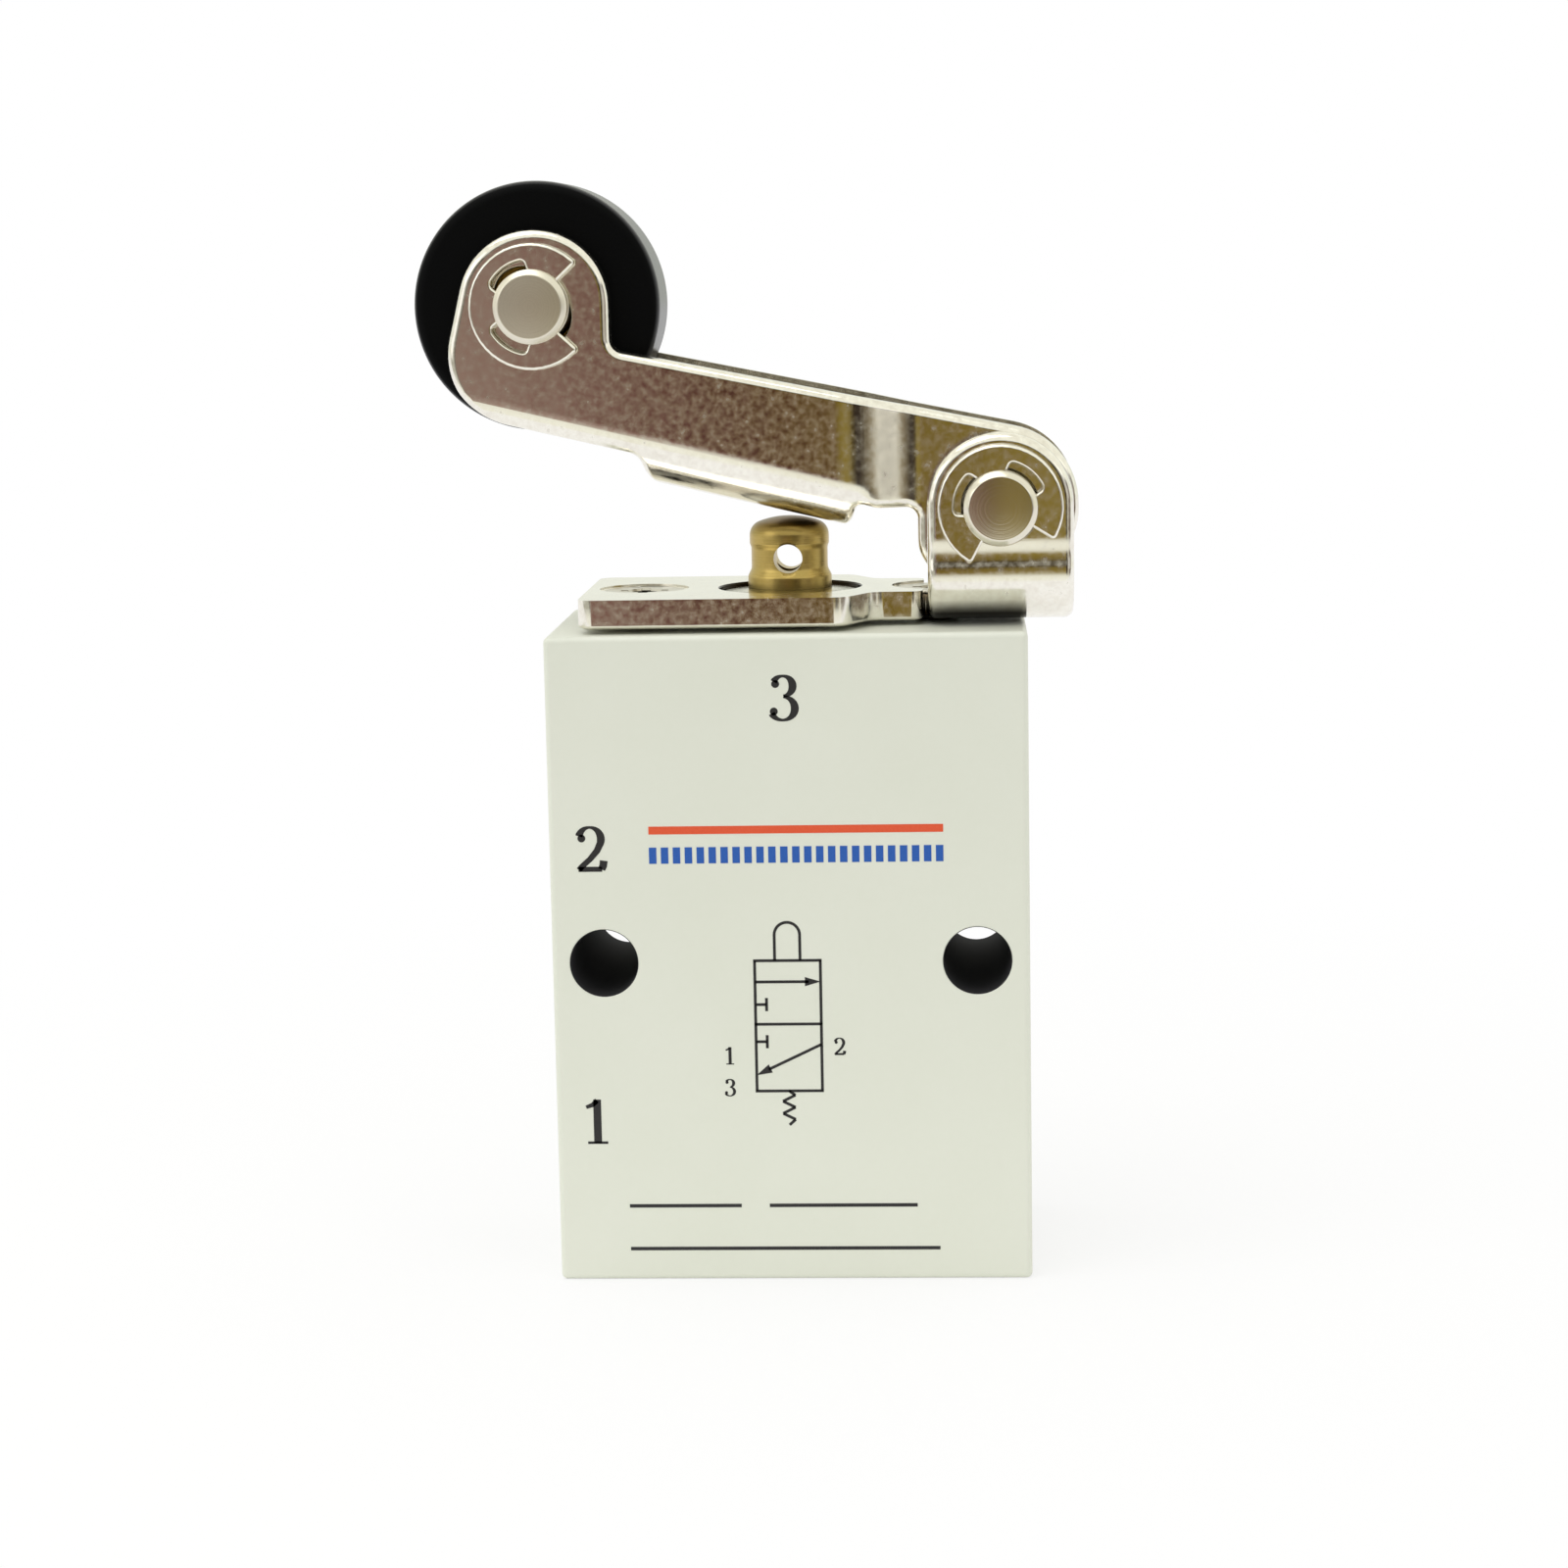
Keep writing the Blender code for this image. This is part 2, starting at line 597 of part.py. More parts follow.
def make_screw(name, side, material):
    """Countersunk screw with a cross recess, its head flush with the plate."""
    shank = SCREW_DIAMETER / 2
    head = SCREW_HEAD_DIAMETER / 2
    top = PLATE_TOP - PRESS_PLAY
    tip = PLATE_TOP - SCREW_LENGTH
    profile = [
        (0, tip),
        (shank - PRESS_PLAY, tip),
        (shank, tip + PRESS_PLAY),
        (shank, top - SCREW_HEAD_HEIGHT + PRESS_PLAY),
        (head, top - PRESS_PLAY),
        (head, top),
        (0, top),
    ]
    x = side * SCREW_SPACING / 2
    screw = turned(name, profile, (x, AXIS_Y, 0), steps=BORE_STEPS, material=material)
    long = RECESS_LENGTH / 2
    short = RECESS_WIDTH / 2
    floor = top - RECESS_DEPTH
    ceiling = top + CUT_MARGIN
    for name, half_x, half_y in (("cut_recess_x", long, short), ("cut_recess_y", short, long)):
        low = (x - half_x, AXIS_Y - half_y, floor)
        high = (x + half_x, AXIS_Y + half_y, ceiling)
        combine(screw, "DIFFERENCE", box(name, low, high))
    return screw


def make_bush(material):
    outer = BUSH_DIAMETER / 2
    inner = BUSH_BORE_DIAMETER / 2
    profile = [
        (inner, BUSH_BOTTOM),
        (outer, BUSH_BOTTOM),
        *groove(outer, BUSH_BOTTOM + BUSH_GROOVE_HEIGHT),
        (outer, BUSH_TOP),
        (inner, BUSH_TOP),
    ]
    return turned("guide_bush", profile, (0, AXIS_Y, 0), material=material)


def make_plunger(material):
    """Domed brass plunger: hollow from its lower end up to a cross hole that vents the outlet."""
    stem = PLUNGER_DIAMETER / 2
    head = PLUNGER_HEAD_DIAMETER / 2
    waist = PLUNGER_WAIST_DIAMETER / 2
    tube = PLUNGER_TUBE_DIAMETER / 2
    flange = PLUNGER_FLANGE_DIAMETER / 2
    exhaust = EXHAUST_BORE_DIAMETER / 2
    tip = SEAL_FACE + EXHAUST_OPENING
    waist_low = EXHAUST_HOLE - PLUNGER_WAIST_LENGTH / 2
    waist_high = EXHAUST_HOLE + PLUNGER_WAIST_LENGTH / 2
    shoulder = head - PLUNGER_SHOULDER
    dome_inside = PLUNGER_DOME - PLUNGER_SHOULDER
    lean = asin(shoulder / dome_inside)
    shoulder_height = DOME_CENTRE + dome_inside * cos(lean)
    profile = [
        (exhaust, tip),
        (tube, tip),
        (tube, FLANGE_BOTTOM),
        (flange, FLANGE_BOTTOM),
        (flange, FLANGE_TOP),
        (stem, FLANGE_TOP),
        *groove(stem, FLANGE_TOP + PLUNGER_GROOVE_HEIGHT),
        (stem, waist_low - (stem - waist)),
        (waist, waist_low),
        (waist, waist_high),
        (head, waist_high + (head - waist)),
    ]
    for step in range(SHOULDER_STEPS):
        turn = (pi / 2 - lean) * step / SHOULDER_STEPS
        reach = shoulder + PLUNGER_SHOULDER * cos(turn)
        profile.append((reach, shoulder_height + PLUNGER_SHOULDER * sin(turn)))
    for step in range(DOME_STEPS + 1):
        turn = lean * (1 - step / DOME_STEPS)
        profile.append((PLUNGER_DOME * sin(turn), DOME_CENTRE + PLUNGER_DOME * cos(turn)))
    profile += [(0, EXHAUST_HOLE), (exhaust, EXHAUST_HOLE)]
    plunger = turned("plunger", profile, (0, AXIS_Y, 0), material=material)
    place = (0, AXIS_Y, EXHAUST_HOLE)
    end = stem + CUT_MARGIN
    combine(
        plunger,
        "DIFFERENCE",
        rod("cut_exhaust_hole", EXHAUST_HOLE_DIAMETER / 2, -end, end, place, "Y"),
    )
    return plunger


def make_poppet(material):
    """Brass poppet with a cup for its seal and a stem that centres the spring below it."""
    disc = POPPET_DIAMETER / 2
    cup = disc - POPPET_LIP
    stem = POPPET_STEM_DIAMETER / 2
    profile = [
        (0, POPPET_BOTTOM - POPPET_STEM_LENGTH),
        (stem, POPPET_BOTTOM - POPPET_STEM_LENGTH),
        (stem, POPPET_BOTTOM),
        (disc, POPPET_BOTTOM),
        (disc, POPPET_TOP),
        (cup, POPPET_TOP),
        (cup, POPPET_TOP - POPPET_CUP_DEPTH),
        (0, POPPET_TOP - POPPET_CUP_DEPTH),
    ]
    return turned("poppet", profile, (0, AXIS_Y, 0), material=material)


def make_poppet_seal(material):
    reach = POPPET_DIAMETER / 2 - POPPET_LIP - PRESS_PLAY
    low = POPPET_TOP - POPPET_CUP_DEPTH + PRESS_PLAY
    profile = [(0, low), (reach, low), (reach, SEAL_FACE), (0, SEAL_FACE)]
    return turned("poppet_seal", profile, (0, AXIS_Y, 0), material=material)


def make_end_plug(material):
    """Slotted plug that closes the bore from below, with a spigot that centres the poppet spring."""
    outer = PLUG_DIAMETER / 2
    spigot = PLUG_SPIGOT_DIAMETER / 2
    profile = [
        (0, PLUG_BOTTOM),
        (outer, PLUG_BOTTOM),
        *groove(outer, PLUG_BOTTOM + PLUG_GROOVE_HEIGHT),
        (outer, PLUG_TOP),
        (spigot, PLUG_TOP),
        (spigot, PLUG_TOP + PLUG_SPIGOT_HEIGHT),
        (0, PLUG_TOP + PLUG_SPIGOT_HEIGHT),
    ]
    plug = turned("end_plug", profile, (0, AXIS_Y, 0), material=material)
    reach = outer + CUT_MARGIN
    half = PLUG_SLOT_WIDTH / 2
    slot = box(
        "cut_plug_slot",
        (-reach, AXIS_Y - half, PLUG_BOTTOM - CUT_MARGIN),
        (reach, AXIS_Y + half, PLUG_BOTTOM + PLUG_SLOT_DEPTH),
    )
    combine(plug, "DIFFERENCE", slot)
    return plug


def lever_end():
    """(x, z) corners of the lever's square-cut end: its heel, and where it meets the round top."""
    axis = Vector((ROLLER_AXIS.x, ROLLER_AXIS.z))
    along = Vector((cos(WEB_SLOPE), -sin(WEB_SLOPE)))
    up = Vector((sin(WEB_SLOPE), cos(WEB_SLOPE)))
    foot = axis - along * ROLLER_END_RADIUS
    drop = (ROLLER_AXIS.z - web_height(ROLLER_AXIS.x) - HEEL_STEP) * cos(WEB_SLOPE)
    rise = ROLLER_END_RADIUS * (1 - sin(WEB_SLOPE)) / cos(WEB_SLOPE)
    return foot - up * drop, foot + up * rise


def lever_stations():
    """(x, half width, height of the bottom) of the lever's sections, from the roller to the pivot."""
    wide = LEVER_WIDTH / 2
    narrow = PIVOT_END_WIDTH / 2
    left = lever_end()[0].x - CUT_MARGIN
    joggle_left = PIVOT.x - JOGGLE_LEFT
    joggle_right = PIVOT.x - JOGGLE_RIGHT
    web_end = PIVOT.x - WEB_RIGHT + WEB_TAPER
    right = PIVOT.x + PIVOT_END_RADIUS + CUT_MARGIN
    # Past the web the blank is cut away, so its two arms stay flat down to their lower edges.
    arms_only = LEVER_BEND + WEB_DROP
    places = {left, joggle_left, web_end, web_end + LEVER_SHEET / 4, joggle_right, right}
    for step in range(1, JOGGLE_STEPS):
        places.add(joggle_left + (joggle_right - joggle_left) * step / JOGGLE_STEPS)
    stations = []
    for x in sorted(places):
        along = min(1, max(0, (x - joggle_left) / (joggle_right - joggle_left)))
        pinch = (1 - cos(pi * along)) / 2
        bottom = web_height(x) - (arms_only if x > web_end else 0)
        stations.append((x, wide + (narrow - wide) * pinch, bottom))
    return stations


def lever_outline():
    """(x, z) side outline of the lever, from its heel under the roller round by the pivot."""
    heel, crown = lever_end()
    right = ROLLER_AXIS.x + ROLLER_END_RADIUS
    top = ROLLER_AXIS.z + ROLLER_END_RADIUS
    web_left = PIVOT.x - WEB_LEFT
    web_right = PIVOT.x - WEB_RIGHT
    underside = PIVOT.z - ARM_UNDERSIDE
    lobe = PIVOT.x - LOBE_LEFT
    lobe_bottom = PIVOT.z - LOBE_DROP
    rear = PIVOT.x + PIVOT_END_RADIUS
    small = LEVER_SHEET / 4
    return rounded(
        [
            (*heel, HEEL_RADIUS),
            (web_left - WEB_TAPER, web_height(web_left - WEB_TAPER) + HEEL_STEP, small),
            (web_left, web_height(web_left) - CUT_MARGIN, 0),
            (web_right, web_height(web_right) - CUT_MARGIN, 0),
            (web_right + WEB_TAPER, underside, small),
            (lobe, underside, small),
            (lobe, lobe_bottom, LOBE_RADIUS),
            (rear, lobe_bottom, LOBE_REAR_RADIUS),
            (rear, arm_height(rear), PIVOT_END_RADIUS),
            (right, arm_height(right), CROOK_RADIUS),
            (right, top, ROLLER_END_RADIUS),
            (*crown, ROLLER_END_RADIUS),
        ]
    )


def make_lever(material):
    """Pressed channel lever: sections lofted along X, trimmed to its side outline and drilled."""
    top = ROLLER_AXIS.z + ROLLER_END_RADIUS + CUT_MARGIN
    shape = bmesh.new()
    rings = []
    for x, half_width, bottom in lever_stations():
        section = channel_section(half_width, LEVER_SHEET, LEVER_BEND, bottom, top)
        rings.append([shape.verts.new((x, y, z)) for y, z in section])
    for first, second in zip(rings, rings[1:]):
        for i in range(len(first)):
            shape.faces.new((first[i - 1], first[i], second[i], second[i - 1]))
    shape.faces.new(rings[0])
    shape.faces.new(rings[-1])
    lever = finish_mesh("lever", shape, material)
    reach = LEVER_WIDTH / 2 + CUT_MARGIN
    side = extruded("trim_lever", lever_outline(), AXIS_Y - reach, AXIS_Y + reach, "Y", cutter=True)
    combine(lever, "INTERSECT", side)
    for name, place in (("pivot", PIVOT), ("roller", ROLLER_AXIS)):
        hole = rod("cut_lever_hole_" + name, PIN_HOLE_DIAMETER / 2, -reach, reach, place, "Y")
        combine(lever, "DIFFERENCE", hole)
    inside = LEVER_WIDTH / 2 - LEVER_SHEET
    room = ROLLER_DIAMETER / 2 + ROLLER_ROOM
    combine(lever, "DIFFERENCE", rod("cut_roller_room", room, -inside, inside, ROLLER_AXIS, "Y"))
    return lever


def make_roller(material):
    outer = ROLLER_DIAMETER / 2
    inner = PIN_DIAMETER / 2 + RUNNING_PLAY + ROLLER_BUSH_WALL + RUNNING_PLAY
    half = ROLLER_WIDTH / 2
    profile = [
        (inner, -half),
        (outer - ROLLER_EDGE, -half),
        (outer, -half + ROLLER_EDGE),
        (outer, half - ROLLER_EDGE),
        (outer - ROLLER_EDGE, half),
        (inner, half),
    ]
    return turned("roller", profile, ROLLER_AXIS, "Y", steps=ROLLER_STEPS, material=material)


def make_roller_bush(material):
    inner = PIN_DIAMETER / 2 + RUNNING_PLAY
    outer = inner + ROLLER_BUSH_WALL
    half = ROLLER_WIDTH / 2 + ROLLER_BUSH_PROUD
    profile = [(inner, -half), (outer, -half), (outer, half), (inner, half)]
    return turned("roller_bush", profile, ROLLER_AXIS, "Y", material=material)


def carry(name, place, *pieces):
    """Parent pieces to an empty that marks their joint's axis, without moving them."""
    axis = bpy.data.objects.new(name, None)
    bpy.context.scene.collection.objects.link(axis)
    axis.location = place
    axis.empty_display_size = JOINT_MARK
    bpy.context.view_layer.update()
    for piece in pieces:
        piece.parent = axis
        piece.matrix_parent_inverse = axis.matrix_world.inverted()
    return axis


def main():
    for leftover in list(bpy.data.objects):
        bpy.data.objects.remove(leftover, do_unlink=True)

    cream = make_material("cream_enamel", (0.69, 0.70, 0.62), 0.45, 0.0)
    nickel = make_material("nickel_plate", (0.75, 0.72, 0.68), 0.22, 1.0)
    pin_steel = make_material("turned_steel", (0.62, 0.59, 0.52), 0.35, 1.0)
    brass = make_material("brass", (0.62, 0.48, 0.2), 0.3, 1.0)
    rubber = make_material("black_rubber", (0.015, 0.015, 0.017), 0.7, 0.0)
    nylon = make_material("black_nylon", (0.012, 0.012, 0.016), 0.45, 0.0)
    spring_wire = make_material("spring_wire", (0.55, 0.55, 0.56), 0.3, 1.0)

    make_valve_body(cream)
    make_bracket(nickel)
    make_screw("bracket_screw_left", -1, pin_steel)
    make_screw("bracket_screw_right", 1, pin_steel)
    make_bush(pin_steel)
    make_end_plug(brass)

    bush_groove = BUSH_DIAMETER / 2 - GROOVE_DEPTH
    bush_seal_height = BUSH_BOTTOM + BUSH_GROOVE_HEIGHT + GROOVE_WIDTH / 2
    o_ring("bush_o_ring", bush_groove, UPPER_BORE_DIAMETER / 2, bush_seal_height, rubber)
    plug_groove = PLUG_DIAMETER / 2 - GROOVE_DEPTH
    plug_seal_height = PLUG_BOTTOM + PLUG_GROOVE_HEIGHT + GROOVE_WIDTH / 2
    o_ring("end_plug_o_ring", plug_groove, SUPPLY_CHAMBER_DIAMETER / 2, plug_seal_height, rubber)

    plunger = make_plunger(brass)
    plunger_groove = PLUNGER_DIAMETER / 2 - GROOVE_DEPTH
    plunger_seal_height = FLANGE_TOP + PLUNGER_GROOVE_HEIGHT + GROOVE_WIDTH / 2
    plunger_seal = o_ring(
        "plunger_o_ring", plunger_groove, BUSH_BORE_DIAMETER / 2, plunger_seal_height, rubber
    )
    carry("plunger_slide", (0, AXIS_Y, PLUNGER_TOP), plunger, plunger_seal)
    carry("poppet_slide", (0, AXIS_Y, SEAL_FACE), make_poppet(brass), make_poppet_seal(rubber))
    coil(
        "plunger_spring",
        PLUNGER_SPRING_DIAMETER,
        LEDGE_TOP + SEAT_GAP,
        FLANGE_BOTTOM - SEAT_GAP,
        PLUNGER_SPRING_TURNS,
        spring_wire,
    )
    coil(
        "poppet_spring",
        POPPET_SPRING_DIAMETER,
        PLUG_TOP + SEAT_GAP,
        POPPET_BOTTOM - SEAT_GAP,
        POPPET_SPRING_TURNS,
        spring_wire,
    )

    ear = EAR_SPREAD / 2
    pin("pivot_pin", PIVOT, -ear, ear, pin_steel)
    e_clip("pivot_e_clip", PIVOT, -ear, PIVOT_CLIP_TURN, nickel)
    side = LEVER_WIDTH / 2
    lever = make_lever(nickel)
    roller_pin = pin("roller_pin", ROLLER_AXIS, -side, side, pin_steel)
    roller_clip = e_clip("roller_e_clip", ROLLER_AXIS, -side, ROLLER_CLIP_TURN, nickel)
    lever_axis = carry("lever_pivot", PIVOT, lever, roller_pin, roller_clip)
    roller_axis = carry("roller_spin", ROLLER_AXIS, make_roller(nylon), make_roller_bush(brass))
    roller_axis.parent = lever_axis
    roller_axis.matrix_parent_inverse = lever_axis.matrix_world.inverted()


main()
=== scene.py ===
"""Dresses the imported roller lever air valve: enamel, plated steel, brass, printing and a studio."""

from math import asin, atan2, copysign, cos, degrees, pi, radians, sin, tan

import bmesh
import bpy
from mathutils import Matrix, Vector


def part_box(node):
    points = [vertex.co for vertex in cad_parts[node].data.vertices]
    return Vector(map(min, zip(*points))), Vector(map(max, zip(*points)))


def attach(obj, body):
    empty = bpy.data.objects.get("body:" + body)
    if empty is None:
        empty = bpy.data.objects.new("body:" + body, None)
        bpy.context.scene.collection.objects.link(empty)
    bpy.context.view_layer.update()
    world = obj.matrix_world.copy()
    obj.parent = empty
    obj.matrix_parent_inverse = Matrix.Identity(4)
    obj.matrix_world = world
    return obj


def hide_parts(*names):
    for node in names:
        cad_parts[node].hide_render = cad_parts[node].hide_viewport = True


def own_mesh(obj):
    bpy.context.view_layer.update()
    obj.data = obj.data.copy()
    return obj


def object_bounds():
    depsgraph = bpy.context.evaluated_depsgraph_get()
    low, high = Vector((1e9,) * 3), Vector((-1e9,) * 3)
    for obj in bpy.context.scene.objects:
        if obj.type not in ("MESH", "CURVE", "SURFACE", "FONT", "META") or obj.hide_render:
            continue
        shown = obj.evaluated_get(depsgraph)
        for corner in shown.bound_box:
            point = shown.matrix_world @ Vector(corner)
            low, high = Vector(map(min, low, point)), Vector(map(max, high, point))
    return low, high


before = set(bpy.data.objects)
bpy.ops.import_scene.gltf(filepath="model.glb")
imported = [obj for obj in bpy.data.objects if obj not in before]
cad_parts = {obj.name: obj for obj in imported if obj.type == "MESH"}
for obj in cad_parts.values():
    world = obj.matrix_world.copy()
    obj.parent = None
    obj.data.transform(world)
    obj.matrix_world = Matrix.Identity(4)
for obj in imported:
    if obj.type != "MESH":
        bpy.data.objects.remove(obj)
cad_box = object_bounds()
MM = 0.001


# Camera, table, room and lamps
# The valve stands on the end of a white table, seen slightly from above and from its right. Behind the
# camera the room is dim and warm, and that is what the plated steel mirrors above its white underside.

CAMERA_PLACE = Vector((11.48, -235.04, 46.55)) * MM
CAMERA_PAN = radians(3.08)
CAMERA_DOWN = radians(9.02)
CAMERA_ROLL = radians(-1.09)
CAMERA_LENS = 76.26
CAMERA_CLIP = 0.01
TABLE_SIZE = 4.0
TABLE_FRONT = -0.11
TABLE_IN_MIRRORS = 0.85
SHADOW_REACH = 0.09
SHADOW_CORE = 0.4
SHADOW_SHARE = 0.3
WALL_LIGHT = 0.62
CEILING_LIGHT = 0.38
LIGHT_BLUE = 0.985
WHITE = (253, 253, 240)
BACK_WHITE = (240, 243, 233)
OLIVE = (150, 132, 68)
DARK = (56, 46, 38)
WALL_STOPS = (
    (0.250, (186, 185, 172)),
    (0.290, (92, 84, 76)),
    (0.350, (104, 96, 88)),
    (0.380, (172, 156, 144)),
    (0.430, (166, 138, 127)),
    (0.450, (118, 76, 70)),
    (0.466, (64, 30, 30)),
    (0.482, (70, 36, 36)),
    (0.489, (136, 118, 46)),
    (0.540, OLIVE),
    (0.590, OLIVE),
    (0.610, DARK),
    (0.700, DARK),
    (0.870, (170, 158, 130)),
    (0.885, WHITE),
    (0.950, WHITE),
    (0.980, (120, 108, 94)),
)
SHADE_STOPS = (
    (0.40, (255, 255, 255)),
    (0.49, (232, 230, 230)),
    (0.56, (226, 224, 224)),
    (0.60, (104, 92, 86)),
    (0.63, (104, 92, 86)),
)
DIM_FLOOR, DIM_FLOOR_FADE = 0.36, 25
DIM_CEILING, DIM_CEILING_FADE = 0.66, 30
DIM_SIDE_START, DIM_SIDE_FADE = 0.5, 5
NEAREST_WALL = 0.02
LAMPS = (
    ("lamp_above", (-0.12, -0.10, 0.50), 0.35, 0.60),
    ("lamp_left", (-0.50, -0.30, 0.20), 0.35, 0.36),
    ("lamp_right", (0.45, -0.35, 0.15), 0.25, 0.08),
)


class Value:
    """A number or colour socket. Arithmetic on it adds Math nodes to its tree."""

    def __init__(self, tree, socket):
        self.tree = tree
        self.socket = socket

    def math(self, operation, *values):
        return self.tree.node("ShaderNodeMath", {"operation": operation}, dict(enumerate(values)))

    def __add__(self, other):
        return self.math("ADD", self, other)

    def __radd__(self, other):
        return self.math("ADD", other, self)

    def __sub__(self, other):
        return self.math("SUBTRACT", self, other)

    def __rsub__(self, other):
        return self.math("SUBTRACT", other, self)

    def __mul__(self, other):
        return self.math("MULTIPLY", self, other)

    def __rmul__(self, other):
        return self.math("MULTIPLY", other, self)

    def __truediv__(self, other):
        return self.math("DIVIDE", self, other)

    def __pow__(self, other):
        return self.math("POWER", self, other)

    def __lt__(self, other):
        return self.math("LESS_THAN", self, other)

    def clamped(self):
        return self.tree.node("ShaderNodeClamp", {}, {"Value": self})

    def larger(self, other):
        return self.math("MAXIMUM", self, other)


class Tree:
    """A node tree being built. node() adds any node and returns one of its outputs."""

    def __init__(self, made):
        self.nodes = made.nodes
        self.links = made.links

    def node(self, kind, settings, values, output=0):
        made = self.nodes.new(kind)
        for name, setting in settings.items():
            if name == "stops":
                self.set_stops(made.color_ramp, setting)
            else:
                setattr(made, name, setting)
        for name, value in values.items():
            self.feed(made.inputs[name], value)
        return Value(self, made.outputs[output]) if made.outputs else None

    def feed(self, socket, value):
        if isinstance(value, Value):
            self.links.new(value.socket, socket)
        else:
            socket.default_value = value

    def set_stops(self, ramp, stops):
        while len(ramp.elements) < len(stops):
            ramp.elements.new(1)
        for element, (place, shade) in zip(ramp.elements, stops):
            element.position = place
            element.color = colour(*shade)

    def mix(self, factor, first, second):
        """A colour between two colours."""
        values = {0: factor, 6: first, 7: second}
        return self.node("ShaderNodeMix", {"data_type": "RGBA"}, values, output=2)

    def parts(self, vector):
        """The X, Y and Z of a vector."""
        return [self.node("ShaderNodeSeparateXYZ", {}, {0: vector}, output=axis) for axis in "XYZ"]


def colour(red, green, blue):
    """A colour socket's value from a screen colour of 0 to 255."""
    return tuple((part / 255) ** 2.2 for part in (red, green, blue)) + (1,)


def ray_kinds(tree):
    """Whether a ray comes from the camera, and whether from a mirror."""
    kinds = ("Is Camera Ray", "Is Glossy Ray")
    return [tree.node("ShaderNodeLightPath", {}, {}, output=kind) for kind in kinds]


def set_up_room():
    """Plain light for matt surfaces, white to the camera, and for metal a studio with a dim front."""
    world = bpy.data.worlds.new("room")
    bpy.context.scene.world = world
    world.use_nodes = True
    world.node_tree.nodes.clear()
    tree = Tree(world.node_tree)
    way = tree.node("ShaderNodeTexCoord", {}, {}, output="Generated")
    across, along, height = tree.parts(way)
    sideways = across / (along * -1).larger(NEAREST_WALL) * 0.5 + 0.5
    upward = height * 0.5 + 0.5
    wall = tree.node("ShaderNodeValToRGB", {"stops": WALL_STOPS}, {"Fac": sideways})
    shade = tree.node("ShaderNodeValToRGB", {"stops": SHADE_STOPS}, {"Fac": upward})
    multiply = {"data_type": "RGBA", "blend_type": "MULTIPLY"}
    shaded = tree.node("ShaderNodeMix", multiply, {0: 1.0, 6: wall, 7: shade}, output=2)
    over_floor = ((upward - DIM_FLOOR) * DIM_FLOOR_FADE).clamped()
    under_ceiling = ((DIM_CEILING - upward) * DIM_CEILING_FADE).clamped()
    front = (along * -DIM_SIDE_FADE - DIM_SIDE_START).clamped()
    behind = (along * DIM_SIDE_FADE).clamped()
    back = tree.mix(under_ceiling * behind, colour(*WHITE), colour(*BACK_WHITE))
    studio = tree.mix(over_floor * under_ceiling * front, back, shaded)
    seen, mirrored = ray_kinds(tree)
    level = WALL_LIGHT + height.larger(0) * CEILING_LIGHT
    lit = tree.node("ShaderNodeCombineColor", {}, {0: level, 1: level, 2: level * LIGHT_BLUE})
    shown = tree.mix(seen, tree.mix(mirrored, lit, studio), (1, 1, 1, 1))
    light = tree.node("ShaderNodeBackground", {}, {"Color": shown, "Strength": 1.0})
    tree.node("ShaderNodeOutputWorld", {}, {"Surface": light})


def set_up_table(height):
    """A white table top that keeps the object's shadow. Its front edge lies below the camera's view."""
    place = (0, TABLE_FRONT + TABLE_SIZE / 2, height)
    bpy.ops.mesh.primitive_plane_add(size=TABLE_SIZE, location=place)
    table = bpy.context.object
    table.name = "table"
    white = bpy.data.materials.new("white_table")
    white.use_nodes = True
    tree = Tree(white.node_tree)
    surface = white.node_tree.nodes["Principled BSDF"]
    surface.inputs["Base Color"].default_value = (0.93, 0.93, 0.92, 1)
    surface.inputs["Roughness"].default_value = 0.7
    glow = tree.node("ShaderNodeEmission", {}, {"Color": (1, 1, 1, 1), "Strength": 1.0})
    seen, mirrored = ray_kinds(tree)
    x, y = tree.parts(tree.node("ShaderNodeNewGeometry", {}, {}, output="Position"))[:2]
    distance = (x * x + y * y) ** 0.5
    near = 1 - (distance / SHADOW_REACH - SHADOW_CORE).clamped()
    glowing = seen * (1 - near * SHADOW_SHARE) + mirrored * TABLE_IN_MIRRORS
    lit = Value(tree, surface.outputs[0])
    shown = tree.node("ShaderNodeMixShader", {}, {0: glowing, 1: lit, 2: glow})
    tree.feed(white.node_tree.nodes["Material Output"].inputs["Surface"], shown)
    table.data.materials.append(white)


def set_up_camera():
    data = bpy.data.cameras.new("camera")
    data.lens = CAMERA_LENS
    data.clip_start = CAMERA_CLIP
    camera = bpy.data.objects.new("camera", data)
    bpy.context.scene.collection.objects.link(camera)
    turn = (
        Matrix.Rotation(CAMERA_PAN, 4, "Z")
        @ Matrix.Rotation(pi / 2 - CAMERA_DOWN, 4, "X")
        @ Matrix.Rotation(CAMERA_ROLL, 4, "Z")
    )
    camera.matrix_world = Matrix.Translation(CAMERA_PLACE) @ turn
    bpy.context.scene.camera = camera


def set_up_lamps(target):
    for name, place, size, power in LAMPS:
        data = bpy.data.lights.new(name, "AREA")
        data.size = size
        data.energy = power
        lamp = bpy.data.objects.new(name, data)
        bpy.context.scene.collection.objects.link(lamp)
        lamp.location = place
        lamp.rotation_euler = (target - Vector(place)).to_track_quat("-Z", "Y").to_euler()


bpy.context.scene.view_settings.view_transform = "Standard"
set_up_camera()
set_up_room()
set_up_table(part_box("valve_body")[0].z)
set_up_lamps((cad_box[0] + cad_box[1]) / 2)
